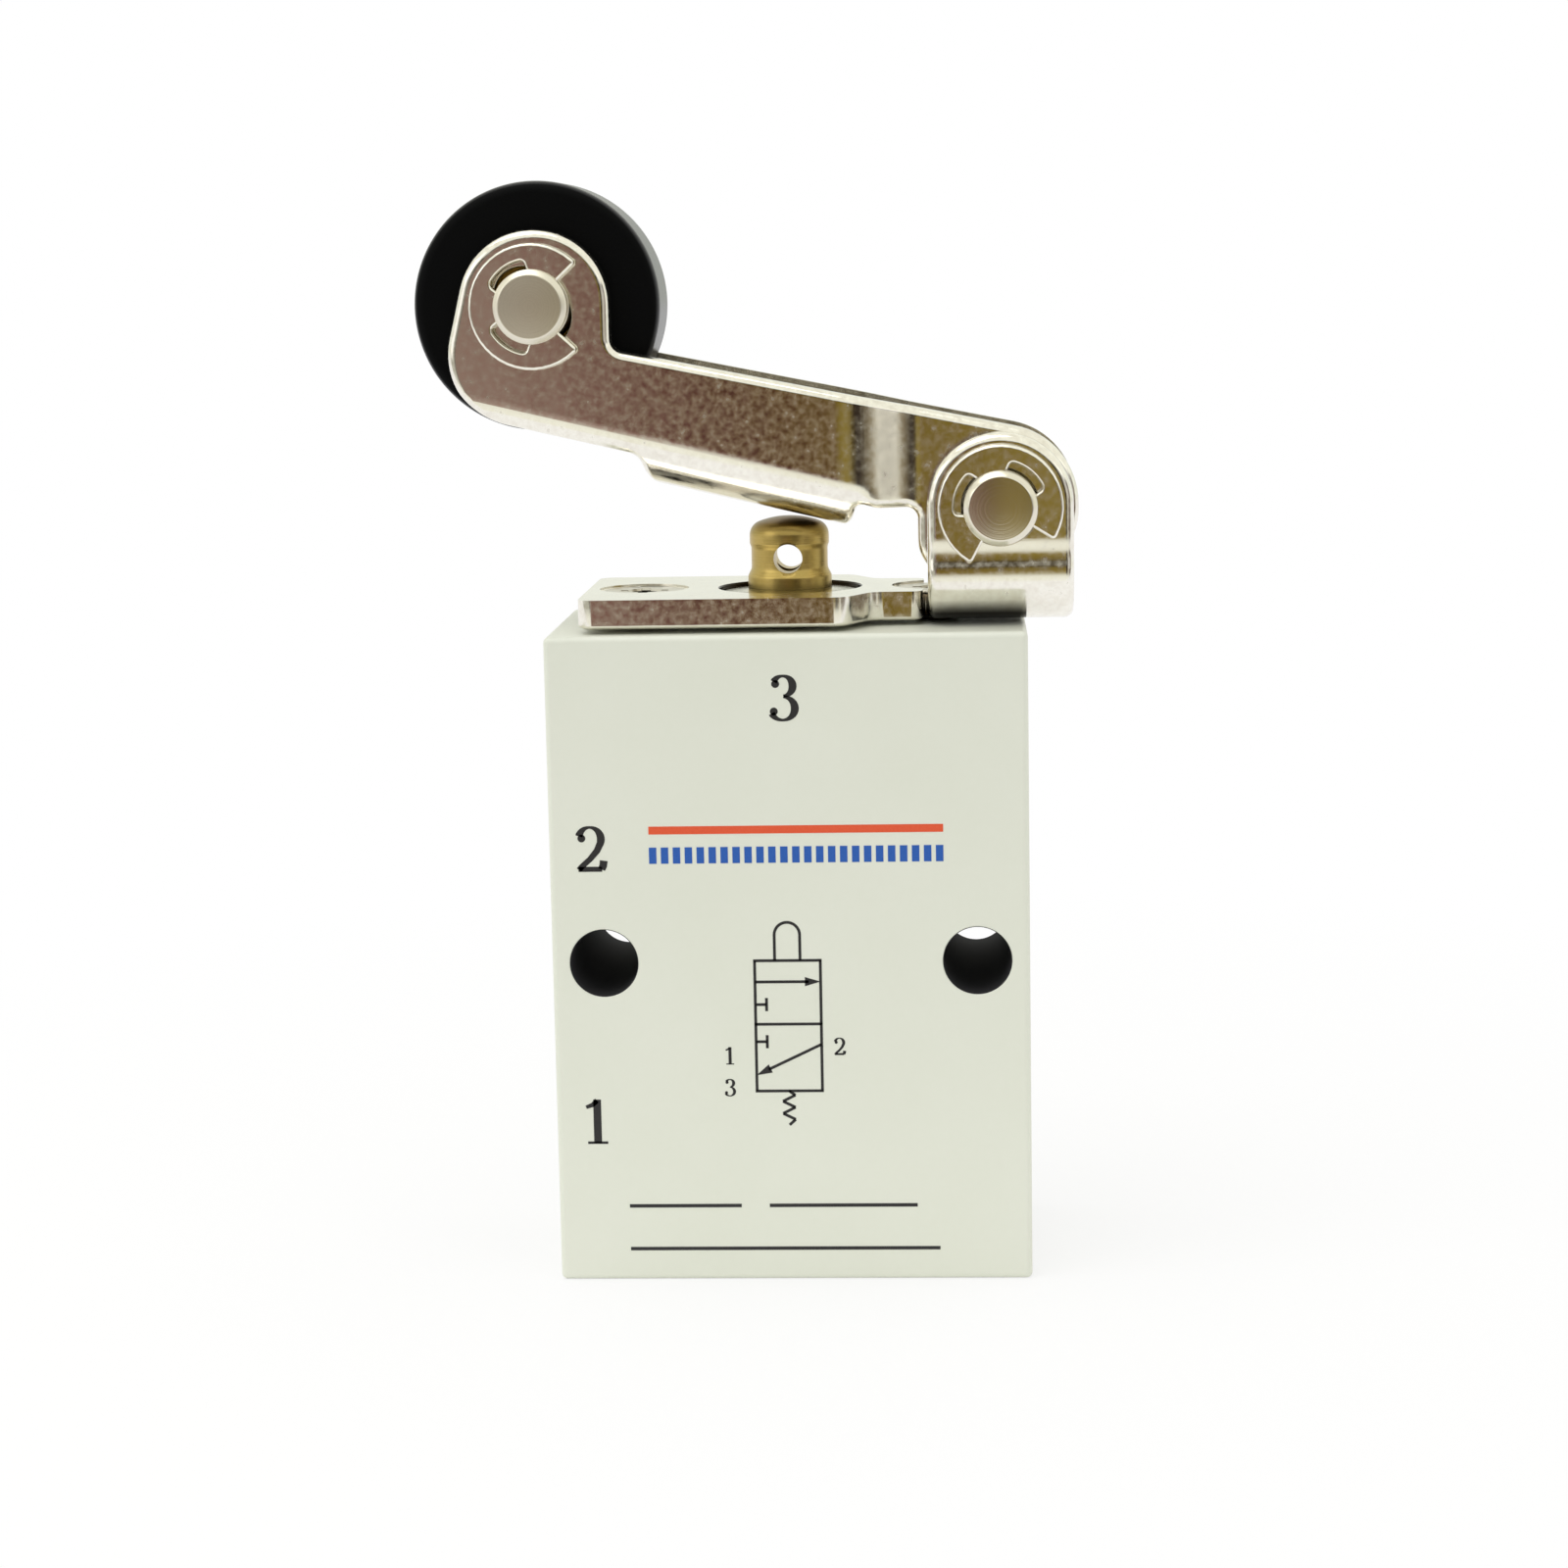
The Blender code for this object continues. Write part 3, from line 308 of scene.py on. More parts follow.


# Valve body
# The block is sawn from alloy bar, enamelled a warm cream and drilled afterwards, so the walls of its
# mounting holes, ports and bore are bare, dull metal, and their near-black colour is painted shade.
# All its outer edges are lightly broken.

BODY_LOW, BODY_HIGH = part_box("valve_body")
AXIS_Y = (BODY_LOW.y + BODY_HIGH.y) / 2
BODY_EDGE = 0.4 * MM
MOUNT_HOLE_RADIUS = 2.25 * MM
MOUNT_HOLE_X = 12.5 * MM
HOLE_EDGE = 0.12 * MM
PORT_ROOT_RADIUS = 4.92 * MM
PORT_MOUTH = 0.5 * MM
PORT_DEPTH = 7.0 * MM
PASSAGE_RADIUS = 1.5 * MM
OUTLET_Z = 8.0 * MM
SUPPLY_Z = -11.0 * MM
SUPPLY_BORE_RADIUS = 5.5 * MM
OUTLET_BORE_RADIUS = 4.4 * MM
SEAT_RADIUS = 3.1 * MM
SEAT_LOW, SEAT_HIGH = -3.0 * MM, -1.5 * MM
UPPER_BORE_RADIUS = 4.85 * MM
UPPER_BORE_DEPTH = 10.3 * MM
ENAMEL_COAT = 0.12
SLACK = 1.0 * MM
DOUBLES = 0.0002 * MM
FILLET_ROOM = 0.99
FLAT_FACE_WEIGHT = 80


def add_mesh_piece(name, shape):
    """An object at the origin from a bmesh, with doubles merged and faces pointing out."""
    bmesh.ops.remove_doubles(shape, verts=shape.verts, dist=DOUBLES)
    bmesh.ops.recalc_face_normals(shape, faces=shape.faces)
    mesh = bpy.data.meshes.new(name)
    shape.to_mesh(mesh)
    shape.free()
    piece = bpy.data.objects.new(name, mesh)
    bpy.context.scene.collection.objects.link(piece)
    return piece


def rounded(corners, step=radians(5)):
    """Outline points of (x, y, radius) corners, each turned into an arc that its sides have room for."""
    count = len(corners)
    points = [Vector(corner[:2]) for corner in corners]
    back = [points[i - 1] - points[i] for i in range(count)]
    ahead = [points[(i + 1) % count] - points[i] for i in range(count)]
    halves = [back[i].angle(ahead[i]) / 2 for i in range(count)]
    runs = [corners[i][2] / tan(halves[i]) for i in range(count)]
    room = []
    for i in range(count):
        wanted = runs[i] + runs[(i + 1) % count]
        room.append(min(1, FILLET_ROOM * ahead[i].length / wanted) if wanted else 1)
    outline = []
    for i in range(count):
        run = runs[i] * min(room[i - 1], room[i])
        if run < DOUBLES:
            outline.append(points[i])
            continue
        radius = run * tan(halves[i])
        middle = (back[i].normalized() + ahead[i].normalized()).normalized()
        centre = points[i] + middle * radius / sin(halves[i])
        start = points[i] + back[i].normalized() * run - centre
        end = points[i] + ahead[i].normalized() * run - centre
        sweep = start.angle_signed(end)
        steps = max(2, round(abs(sweep) / step))
        first = atan2(start.y, start.x)
        for part in range(steps + 1):
            turn = first - sweep * part / steps
            outline.append(centre + radius * Vector((cos(turn), sin(turn))))
    return outline


AXIS_TURNS = {
    "X": Matrix.Rotation(pi / 2, 4, "Y"),
    "Y": Matrix.Rotation(-pi / 2, 4, "X"),
    "Z": Matrix.Identity(4),
}


def turned(name, profile, place, along="Z", steps=96):
    """A lathe piece from a loop of (radius, height, fillet) corners, turned about an axis through place."""
    shape = bmesh.new()
    loop = [shape.verts.new((max(0, point.x), 0, point.y)) for point in rounded(profile, radians(15))]
    edges = [shape.edges.new((loop[i - 1], loop[i])) for i in range(len(loop))]
    edges = [edge for edge in edges if any(vert.co.x > 0 for vert in edge.verts)]
    whole = {"cent": (0, 0, 0), "axis": (0, 0, 1), "angle": 2 * pi, "use_merge": True}
    bmesh.ops.spin(shape, geom=edges, steps=steps, **whole)
    bmesh.ops.delete(shape, geom=[edge for edge in shape.edges if edge.is_wire], context="EDGES")
    standing = Matrix.Translation(place) @ AXIS_TURNS[along]
    bmesh.ops.transform(shape, matrix=standing, verts=shape.verts)
    return add_mesh_piece(name, shape)


def square(low, high):
    """A square shape between two corners."""
    shape = bmesh.new()
    bmesh.ops.create_cube(shape, size=1)
    bmesh.ops.scale(shape, verts=shape.verts, vec=high - low)
    bmesh.ops.translate(shape, verts=shape.verts, vec=(high + low) / 2)
    return shape


def settle(piece):
    """Turn a piece's modifiers into plain mesh and remove its cutters."""
    cutters = [modifier.object for modifier in piece.modifiers if modifier.type == "BOOLEAN"]
    graph = bpy.context.evaluated_depsgraph_get()
    mesh = bpy.data.meshes.new_from_object(piece.evaluated_get(graph))
    piece.modifiers.clear()
    piece.data = mesh
    for cutter in cutters:
        bpy.data.objects.remove(cutter, do_unlink=True)


def cut(piece, *cutters):
    """The piece with its cutters taken out of it, one after another."""
    for cutter in cutters:
        step = piece.modifiers.new(cutter.name, "BOOLEAN")
        step.solver = "EXACT"
        step.object = cutter
    settle(piece)
    return piece


def smooth(piece, angle=radians(32)):
    """The piece shaded smooth, with flat faces left flat and edges past the angle left sharp."""
    piece.data.shade_smooth()
    piece.data.set_sharp_from_angle(angle=angle)
    weighting = piece.modifiers.new("flat_faces", "WEIGHTED_NORMAL")
    weighting.keep_sharp = True
    weighting.weight = FLAT_FACE_WEIGHT
    settle(piece)
    return piece


def dress(piece, finish, slot, body, *nodes):
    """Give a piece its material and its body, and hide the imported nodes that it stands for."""
    piece.data.materials.clear()
    piece.data.materials.append(finish)
    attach(piece, body)
    if nodes:
        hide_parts(*nodes)


def new_finish(name):
    """An empty material with its tree and its principled surface."""
    material = bpy.data.materials.new(name)
    material.use_nodes = True
    return material, Tree(material.node_tree), material.node_tree.nodes["Principled BSDF"]


def place_on_piece(tree):
    return tree.node("ShaderNodeTexCoord", {}, {}, output="Object")


def noise(tree, where, size, detail=3.0, roughness=0.5):
    """Noise whose features are about size across."""
    values = {"Vector": where, "Scale": 1 / size, "Detail": detail, "Roughness": roughness}
    return tree.node("ShaderNodeTexNoise", {}, values)


def bump(tree, height, distance, strength):
    values = {"Height": height, "Distance": distance, "Strength": strength}
    return tree.node("ShaderNodeBump", {}, values)


def make_enamel():
    """Sprayed cream enamel with a faint orange peel, and bare metal where the block was drilled, painted
    near black there as shade.
    """
    material, tree, surface = new_finish("cream_enamel")
    where = place_on_piece(tree)
    x, y, z = tree.parts(where)
    off_axis = y - AXIS_Y

    def drilled(first, second, radius):
        return first * first + second * second < (radius + 0.5 * HOLE_EDGE) ** 2

    left_hole = drilled(x + MOUNT_HOLE_X, z, MOUNT_HOLE_RADIUS)
    right_hole = drilled(x - MOUNT_HOLE_X, z, MOUNT_HOLE_RADIUS)
    outlet = drilled(off_axis, z - OUTLET_Z, PORT_ROOT_RADIUS)
    supply = drilled(off_axis, z - SUPPLY_Z, PORT_ROOT_RADIUS)
    ports = outlet.larger(supply) * (x < 0)
    bare_and_shaded = left_hole.larger(right_hole).larger(ports).larger(drilled(x, off_axis, SUPPLY_BORE_RADIUS))
    drift = noise(tree, where, 9 * MM, 2.0)
    fleck = noise(tree, where, 0.5 * MM, 4.0)
    tone = (drift * 0.7 + fleck * 0.3).clamped()
    paint = tree.mix(tone, colour(224, 227, 211), colour(232, 234, 221))
    # The drilled walls are uncoated and rough, and their near-black colour is painted shade inside the
    # holes.
    metal = tree.mix(fleck, colour(30, 30, 34), colour(48, 47, 52))
    tree.feed(surface.inputs["Base Color"], tree.mix(bare_and_shaded, paint, metal))
    tree.feed(surface.inputs["Roughness"], 0.36 + fleck * 0.14 + bare_and_shaded * 0.5)
    tree.feed(surface.inputs["Coat Weight"], ENAMEL_COAT - bare_and_shaded * ENAMEL_COAT)
    surface.inputs["Coat Roughness"].default_value = 0.25
    peel = noise(tree, where, 0.7 * MM, 2.0)
    tree.feed(surface.inputs["Normal"], bump(tree, peel, 0.012 * MM, 0.6))
    return material


def make_body():
    shape = square(BODY_LOW, BODY_HIGH)
    bmesh.ops.bevel(shape, geom=shape.edges, offset=BODY_EDGE, segments=5, profile=0.5, affect="EDGES")
    body = add_mesh_piece("enamelled_block", shape)
    depth = BODY_HIGH.y - BODY_LOW.y
    flare = MOUNT_HOLE_RADIUS + HOLE_EDGE + SLACK
    cutters = []
    for side in (-1, 1):
        profile = [
            (0, -depth - SLACK, 0),
            (flare, -depth - SLACK, 0),
            (MOUNT_HOLE_RADIUS, -depth + HOLE_EDGE, HOLE_EDGE),
            (MOUNT_HOLE_RADIUS, -HOLE_EDGE, HOLE_EDGE),
            (flare, SLACK, 0),
            (0, SLACK, 0),
        ]
        cutters.append(turned("cut_mounting_hole", profile, (side * MOUNT_HOLE_X, 0, 0), "Y"))
    mouth = BODY_LOW.x
    for height in (OUTLET_Z, SUPPLY_Z):
        profile = [
            (0, mouth - SLACK, 0),
            (PORT_ROOT_RADIUS + PORT_MOUTH + SLACK, mouth - SLACK, 0),
            (PORT_ROOT_RADIUS, mouth + PORT_MOUTH, 0),
            (PORT_ROOT_RADIUS, mouth + PORT_DEPTH, 0),
            (PASSAGE_RADIUS, mouth + PORT_DEPTH, 0),
            (PASSAGE_RADIUS, -SEAT_RADIUS, 0),
            (0, -SEAT_RADIUS, 0),
        ]
        cutters.append(turned("cut_port", profile, (0, AXIS_Y, height), "X"))
    shoulder = BODY_HIGH.z - UPPER_BORE_DEPTH
    profile = [
        (0, BODY_LOW.z - SLACK, 0),
        (SUPPLY_BORE_RADIUS, BODY_LOW.z - SLACK, 0),
        (SUPPLY_BORE_RADIUS, SEAT_LOW, 0),
        (SEAT_RADIUS, SEAT_LOW, 0),
        (SEAT_RADIUS, SEAT_HIGH, 0),
        (OUTLET_BORE_RADIUS, SEAT_HIGH, 0),
        (OUTLET_BORE_RADIUS, shoulder, 0),
        (UPPER_BORE_RADIUS, shoulder, 0),
        (UPPER_BORE_RADIUS, BODY_HIGH.z + SLACK, 0),
        (0, BODY_HIGH.z + SLACK, 0),
    ]
    cutters.append(turned("cut_bore", profile, (0, AXIS_Y, 0)))
    return smooth(cut(body, *cutters))


dress(make_body(), make_enamel(), "cream_enamel", "body", "valve_body")


# Printing on the front face
# Screen-printed inks: a number beside each port, a red and a blue rule, and the drawn symbol of the
# valve. The makers' words of such a face are left out, and plain rules stand in their lines.

PRINT_FACE = BODY_LOW.y
INK_THICKNESS = 0.015 * MM
LINE = 0.19 * MM
PORT_FIGURE_HEIGHT = 3.1 * MM
SMALL_FIGURE_HEIGHT = 1.2 * MM
PORT_FIGURES = (
    ("3", (-0.1, 17.8)),
    ("2", (-13.2, 7.8)),
    ("1", (-13.3, -10.9)),
)
TERMINAL_FIGURES = (
    ("1", (-4.2, -6.4)),
    ("3", (-4.2, -8.6)),
    ("2", (3.2, -5.8)),
)
RULE_LEFT, RULE_RIGHT = -9.3 * MM, 10.3 * MM
RED_RULE_Z, RED_RULE_WIDTH = 9.0 * MM, 0.53 * MM
DASH_Z, DASH_HEIGHT, DASH_WIDTH, DASHES = 7.3 * MM, 1.1 * MM, 0.5 * MM, 25
BLANK_LINES = ((-11.2, -3.6, -16.8), (-1.7, 8.3, -16.8), (-11.2, 9.8, -19.8))
BOX_LEFT, BOX_RIGHT = -2.4 * MM, 2.0 * MM
BOX_TOP, BOX_MIDDLE, BOX_BOTTOM = 0.1 * MM, -4.25 * MM, -8.85 * MM
DOME_MIDDLE, DOME_RADIUS, DOME_TOP = -0.2 * MM, 0.85 * MM, 2.7 * MM
BLANK_LINE = 0.24 * MM
ARROW_LENGTH, ARROW_WIDTH = 1.05 * MM, 0.62 * MM
FLOW_DROP, FLOW_GAP = 1.45 * MM, 0.8 * MM
SLANT_DROP, SLANT_RISE, SLANT_GAP = 1.4 * MM, 1.1 * MM, 0.9 * MM
STOP_LENGTH, STOP_HALF = 0.75 * MM, 0.45 * MM
UPPER_STOP_DROP, LOWER_STOP_DROP = 3.0 * MM, 1.2 * MM
ZIGZAG_X = DOME_MIDDLE - 0.05 * MM
ZIGZAG_TURNS, ZIGZAG_SWING, ZIGZAG_PITCH = 5, 0.42 * MM, 0.42 * MM


def add_ribbon(shape, points, widths):
    """A flat stroke of ink through (x, z) points, mitred at its bends, proud of the face by one coat."""
    count = len(points)
    ways = [(points[i + 1] - points[i]).normalized() for i in range(count - 1)]
    rows = []
    for i, (point, width) in enumerate(zip(points, widths)):
        before, after = ways[max(0, i - 1)], ways[min(i, count - 2)]
        along = (before + after).normalized()
        reach = width / 2 / max(0.5, along.dot(after))
        side = Vector((-along.y, along.x)) * reach
        corners = []
        for depth in (PRINT_FACE - INK_THICKNESS, PRINT_FACE):
            for end in (point + side, point - side):
                corners.append(shape.verts.new((end.x, depth, end.y)))
        rows.append(corners)
    for first, second in zip(rows, rows[1:]):
        for a, b in ((0, 1), (1, 3), (3, 2), (2, 0)):
            shape.faces.new((first[a], first[b], second[b], second[a]))
    for a, b, c, d in (rows[0], rows[-1]):
        shape.faces.new((a, b, d, c))


def add_line(shape, start, end, width=LINE):
    add_ribbon(shape, [Vector(start), Vector(end)], [width, width])


def thicken(shape, points, way):
    """Add a face through points, pushed out into a solid."""
    face = shape.faces.new([shape.verts.new(point) for point in points])
    pushed = bmesh.ops.extrude_face_region(shape, geom=[face])["geom"]
    top = [item for item in pushed if isinstance(item, bmesh.types.BMVert)]
    bmesh.ops.translate(shape, verts=top, vec=way)


def add_patch(shape, points):
    """A filled patch of ink, such as a ball terminal or an arrow's head."""
    thicken(shape, [(x, PRINT_FACE, z) for x, z in points], (0, -INK_THICKNESS, 0))


def arc(centre, radius, start, end, squeeze=1.0, steps=20):
    """Points of an arc between two turns in degrees, squeezed upright or flat."""
    turns = [radians(start + (end - start) * step / steps) for step in range(steps + 1)]
    return [centre + radius * Vector((cos(turn), squeeze * sin(turn))) for turn in turns]


def add_figure(shape, figure, middle, height):
    """A roman figure drawn with a broad nib: thick going down, thin going across."""
    thick, thin = 0.17 * height, 0.055 * height
    corner = Vector(middle) - Vector((0.32, 0.5)) * height

    def put(x, y):
        return corner + Vector((x, y)) * height

    def draw(points):
        widths = []
        for i in range(len(points)):
            way = points[min(i + 1, len(points) - 1)] - points[max(i - 1, 0)]
            widths.append(thin + (thick - thin) * abs(way.normalized().y) ** 1.6)
        add_ribbon(shape, points, widths)

    def ball(x, y):
        add_patch(shape, arc(put(x, y), 0.085 * height, 0, 345, steps=15))

    if figure == "1":
        add_line(shape, put(0.34, 0.02), put(0.34, 0.99), thick)
        draw([put(0.34, 0.97), put(0.24, 0.87), put(0.1, 0.82)])
        add_line(shape, put(0.12, 0.025), put(0.56, 0.025), thin)
    if figure == "2":
        bowl = arc(put(0.31, 0.71), 0.24 * height, 165, -20, 1.08)
        tail = [put(0.46, 0.46), put(0.3, 0.27), put(0.14, 0.13), put(0.06, 0.04)]
        draw(bowl + tail)
        add_line(shape, put(0.05, 0.055), put(0.56, 0.055), 0.11 * height)
        draw([put(0.55, 0.05), put(0.585, 0.13), put(0.6, 0.24)])
        ball(0.13, 0.73)
    if figure == "3":
        draw(arc(put(0.3, 0.755), 0.21 * height, 155, -88, 1.02))
        draw(arc(put(0.29, 0.275), 0.26 * height, 86, -155, 0.97))
        ball(0.14, 0.8)
        ball(0.1, 0.21)


def make_ink(name, deep, pale):
    """Printing ink, a little uneven where the screen left less of it."""
    material, tree, surface = new_finish(name)
    where = place_on_piece(tree)
    grain = noise(tree, where, 0.15 * MM, 4.0, 0.6)
    tree.feed(surface.inputs["Base Color"], tree.mix(grain, deep, pale))
    tree.feed(surface.inputs["Roughness"], 0.42 + grain * 0.2)
    tree.feed(surface.inputs["Normal"], bump(tree, grain, 0.004 * MM, 0.5))
    return material


def grown(name, build, sizes, finish, base):
    """A piece from a node tree: build() gets the tree, the base mesh and the sizes as named inputs."""
    group = bpy.data.node_groups.new(name, "GeometryNodeTree")
    group.interface.new_socket("Geometry", in_out="INPUT", socket_type="NodeSocketGeometry")
    for label in sizes:
        group.interface.new_socket(label, in_out="INPUT", socket_type="NodeSocketFloat")
    group.interface.new_socket("Geometry", in_out="OUTPUT", socket_type="NodeSocketGeometry")
    tree = Tree(group)
    given = group.nodes.new("NodeGroupInput")
    inputs = {label: Value(tree, given.outputs[label]) for label in sizes}
    shape = build(tree, Value(tree, given.outputs["Geometry"]), inputs)
    solid = tree.node("GeometryNodeRealizeInstances", {}, {"Geometry": shape})
    coated = tree.node("GeometryNodeSetMaterial", {}, {"Geometry": solid, "Material": finish})
    tree.feed(group.nodes.new("NodeGroupOutput").inputs["Geometry"], coated)
    piece = bpy.data.objects.new(name, base)
    bpy.context.scene.collection.objects.link(piece)
    growth = piece.modifiers.new(name, "NODES")
    growth.node_group = group
    for item in group.interface.items_tree:
        if item.in_out == "INPUT" and item.name in sizes:
            growth[item.identifier] = float(sizes[item.name])
    settle(piece)
    return piece


def in_a_row(tree, piece, count, start, step):
    """Copies of a piece along X, from start on and a step apart."""
    first = tree.node("ShaderNodeCombineXYZ", {}, {"X": start})
    offset = tree.node("ShaderNodeCombineXYZ", {}, {"X": step})
    values = {"Count": count, "Start Location": first, "Offset": offset}
    row = tree.node("GeometryNodeMeshLine", {}, values)
    return tree.node("GeometryNodeInstanceOnPoints", {}, {"Points": row, "Instance": piece})


def add_head(shape, tip, way):
    """A filled arrow head with its tip at a point."""
    tip, way = Vector(tip), Vector(way)
    side = Vector((-way.y, way.x)) * ARROW_WIDTH / 2
    back = tip - way * ARROW_LENGTH
    add_patch(shape, [tip, back + side, back - side])


def make_black_print():
    shape = bmesh.new()
    for figures, height in ((PORT_FIGURES, PORT_FIGURE_HEIGHT), (TERMINAL_FIGURES, SMALL_FIGURE_HEIGHT)):
        for figure, (x, z) in figures:
            add_figure(shape, figure, (x * MM, z * MM), height)
    half = LINE / 2
    for z in (BOX_TOP, BOX_MIDDLE, BOX_BOTTOM):
        add_line(shape, (BOX_LEFT - half, z), (BOX_RIGHT + half, z))
    for x in (BOX_LEFT, BOX_RIGHT):
        add_line(shape, (x, BOX_BOTTOM), (x, BOX_TOP))
    spring_z = DOME_TOP - DOME_RADIUS
    cap = arc(Vector((DOME_MIDDLE, spring_z)), DOME_RADIUS, 0, 180)
    ends = [Vector((DOME_MIDDLE + side * DOME_RADIUS, BOX_TOP)) for side in (1, -1)]
    add_ribbon(shape, [ends[0]] + cap + [ends[1]], [LINE] * (len(cap) + 2))
    flow_z = BOX_TOP - FLOW_DROP
    add_line(shape, (BOX_LEFT, flow_z), (BOX_RIGHT - FLOW_GAP, flow_z))
    add_head(shape, (BOX_RIGHT, flow_z), (1, 0))
    stop_x = BOX_LEFT + STOP_LENGTH
    for z in (BOX_TOP - UPPER_STOP_DROP, BOX_MIDDLE - LOWER_STOP_DROP):
        add_line(shape, (BOX_LEFT, z), (stop_x, z))
        add_line(shape, (stop_x, z - STOP_HALF), (stop_x, z + STOP_HALF))
    start = Vector((BOX_RIGHT, BOX_MIDDLE - SLANT_DROP))
    end = Vector((BOX_LEFT, BOX_BOTTOM + SLANT_RISE))
    way = (end - start).normalized()
    add_line(shape, start, end - way * SLANT_GAP)
    add_head(shape, end, way)
    places = [(ZIGZAG_X, BOX_BOTTOM)]
    for step in range(ZIGZAG_TURNS):
        x = ZIGZAG_X + ZIGZAG_SWING * (-1) ** step
        places.append((x, BOX_BOTTOM - ZIGZAG_PITCH * (step + 0.7)))
    places.append((ZIGZAG_X, BOX_BOTTOM - ZIGZAG_PITCH * (ZIGZAG_TURNS + 0.6)))
    for first, second in zip(places, places[1:]):
        add_line(shape, first, second)
    for left, right, z in BLANK_LINES:
        add_line(shape, (left * MM, z * MM), (right * MM, z * MM), BLANK_LINE)
    return add_mesh_piece("black_print", shape)


def make_red_rule():
    shape = bmesh.new()
    add_line(shape, (RULE_LEFT, RED_RULE_Z), (RULE_RIGHT, RED_RULE_Z), RED_RULE_WIDTH)
    return add_mesh_piece("red_rule", shape)


def make_blue_dashes(finish):
    """A row of upright blue dashes below the red rule."""

    def build(tree, dash, sizes):
        return in_a_row(tree, dash, DASHES, sizes["Left"], sizes["Pitch"])

    shape = bmesh.new()
    add_line(shape, (0, DASH_Z - DASH_HEIGHT / 2), (0, DASH_Z + DASH_HEIGHT / 2), DASH_WIDTH)
    dash = add_mesh_piece("dash", shape)
    pitch = (RULE_RIGHT - RULE_LEFT - DASH_WIDTH) / (DASHES - 1)
    sizes = {"Pitch": pitch, "Left": RULE_LEFT + DASH_WIDTH / 2}
    row = grown("blue_dashes", build, sizes, finish, dash.data)
    bpy.data.objects.remove(dash, do_unlink=True)
    return row


black_ink = make_ink("black_ink", colour(26, 26, 28), colour(48, 46, 46))
red_ink = make_ink("red_ink", colour(222, 74, 36), colour(233, 98, 58))
blue_ink = make_ink("blue_ink", colour(18, 78, 168), colour(44, 100, 184))
dress(make_black_print(), black_ink, "cream_enamel", "body")
dress(make_red_rule(), red_ink, "cream_enamel", "body")
dress(make_blue_dashes(blue_ink), blue_ink, "cream_enamel", "body")


# Threads of the two ports
# Each port is tapped with a fine pipe thread. The thread is one ridge wound down the bare bore, with
# its crest cut flat, starting behind the chamfer of the mouth.

THREAD_PITCH = 0.907 * MM
THREAD_CREST_RADIUS = 4.3 * MM
THREAD_BITE = 0.05 * MM
THREAD_TURNS = 6
THREAD_START = 0.3 * MM
THREAD_ROOT_WIDTH = 0.82 * THREAD_PITCH
THREAD_CREST_WIDTH = 0.16 * THREAD_PITCH
HELIX_STEPS = 48
RING_WIDTH = 0.08 * MM
# Fade and share of the painted shade at the top of a turned piece.
TOP_SHADE_FADE = 1.0 * MM
TOP_SHADE_SHARE = 0.75


def make_turned_metal(name, place, along, dark, pale, roughness, shaded_below=None, shaded_above=None):
    """Machined metal with fine rings, painted nearly black as shade below one height and darkened with
    painted shade above another.
    """
    material, tree, surface = new_finish(name)
    where = place_on_piece(tree)
    shifted = tree.node("ShaderNodeMapping", {}, {"Vector": where, "Location": -Vector(place)})
    parts = dict(zip("XYZ", tree.parts(shifted)))
    down = parts.pop(along)
    first, second = parts.values()
    reach = (first * first + second * second) ** 0.5
    values = {"W": reach + down, "Scale": 1 / RING_WIDTH, "Detail": 2.0}
    rings = tree.node("ShaderNodeTexNoise", {"noise_dimensions": "1D"}, values)
    grain = noise(tree, where, 0.12 * MM, 3.0)
    tone = tree.mix((rings * 0.6 + grain * 0.4).clamped(), dark, pale)
    height = tree.parts(where)[2]
    # Painted shade: below that height the colour is nearly black, as in a screw's recess.
    if shaded_below is not None:
        tone = tree.mix(height < shaded_below, tone, colour(40, 38, 34))
    # Painted shade: towards the top the colour fades into dark brown, as under the lever's web.
    if shaded_above is not None:
        top_shade = ((height - shaded_above) * (1 / TOP_SHADE_FADE)).clamped()
        tone = tree.mix(top_shade * TOP_SHADE_SHARE, tone, colour(84, 62, 24))
    tree.feed(surface.inputs["Base Color"], tone)
    surface.inputs["Metallic"].default_value = 1.0
    tree.feed(surface.inputs["Roughness"], roughness + rings * 0.12)
    tree.feed(surface.inputs["Normal"], bump(tree, rings, 0.006 * MM, 0.5))
    return material


def helix(tree, sizes, profile):
    """A curve wound up the Z axis with a profile swept along it."""
    values = {
        "Resolution": HELIX_STEPS,
        "Rotations": sizes["Turns"],
        "Start Radius": sizes["Radius"],
        "End Radius": sizes["Radius"],
        "Height": sizes["Height"],
    }
    path = tree.node("GeometryNodeCurveSpiral", {}, values)
    upright = tree.node("GeometryNodeSetCurveNormal", {"mode": "Z_UP"}, {"Curve": path})
    values = {"Curve": upright, "Profile Curve": profile, "Fill Caps": True}
    swept = tree.node("GeometryNodeCurveToMesh", {}, values)
    return tree.node("GeometryNodeSetShadeSmooth", {}, {"Geometry": swept})


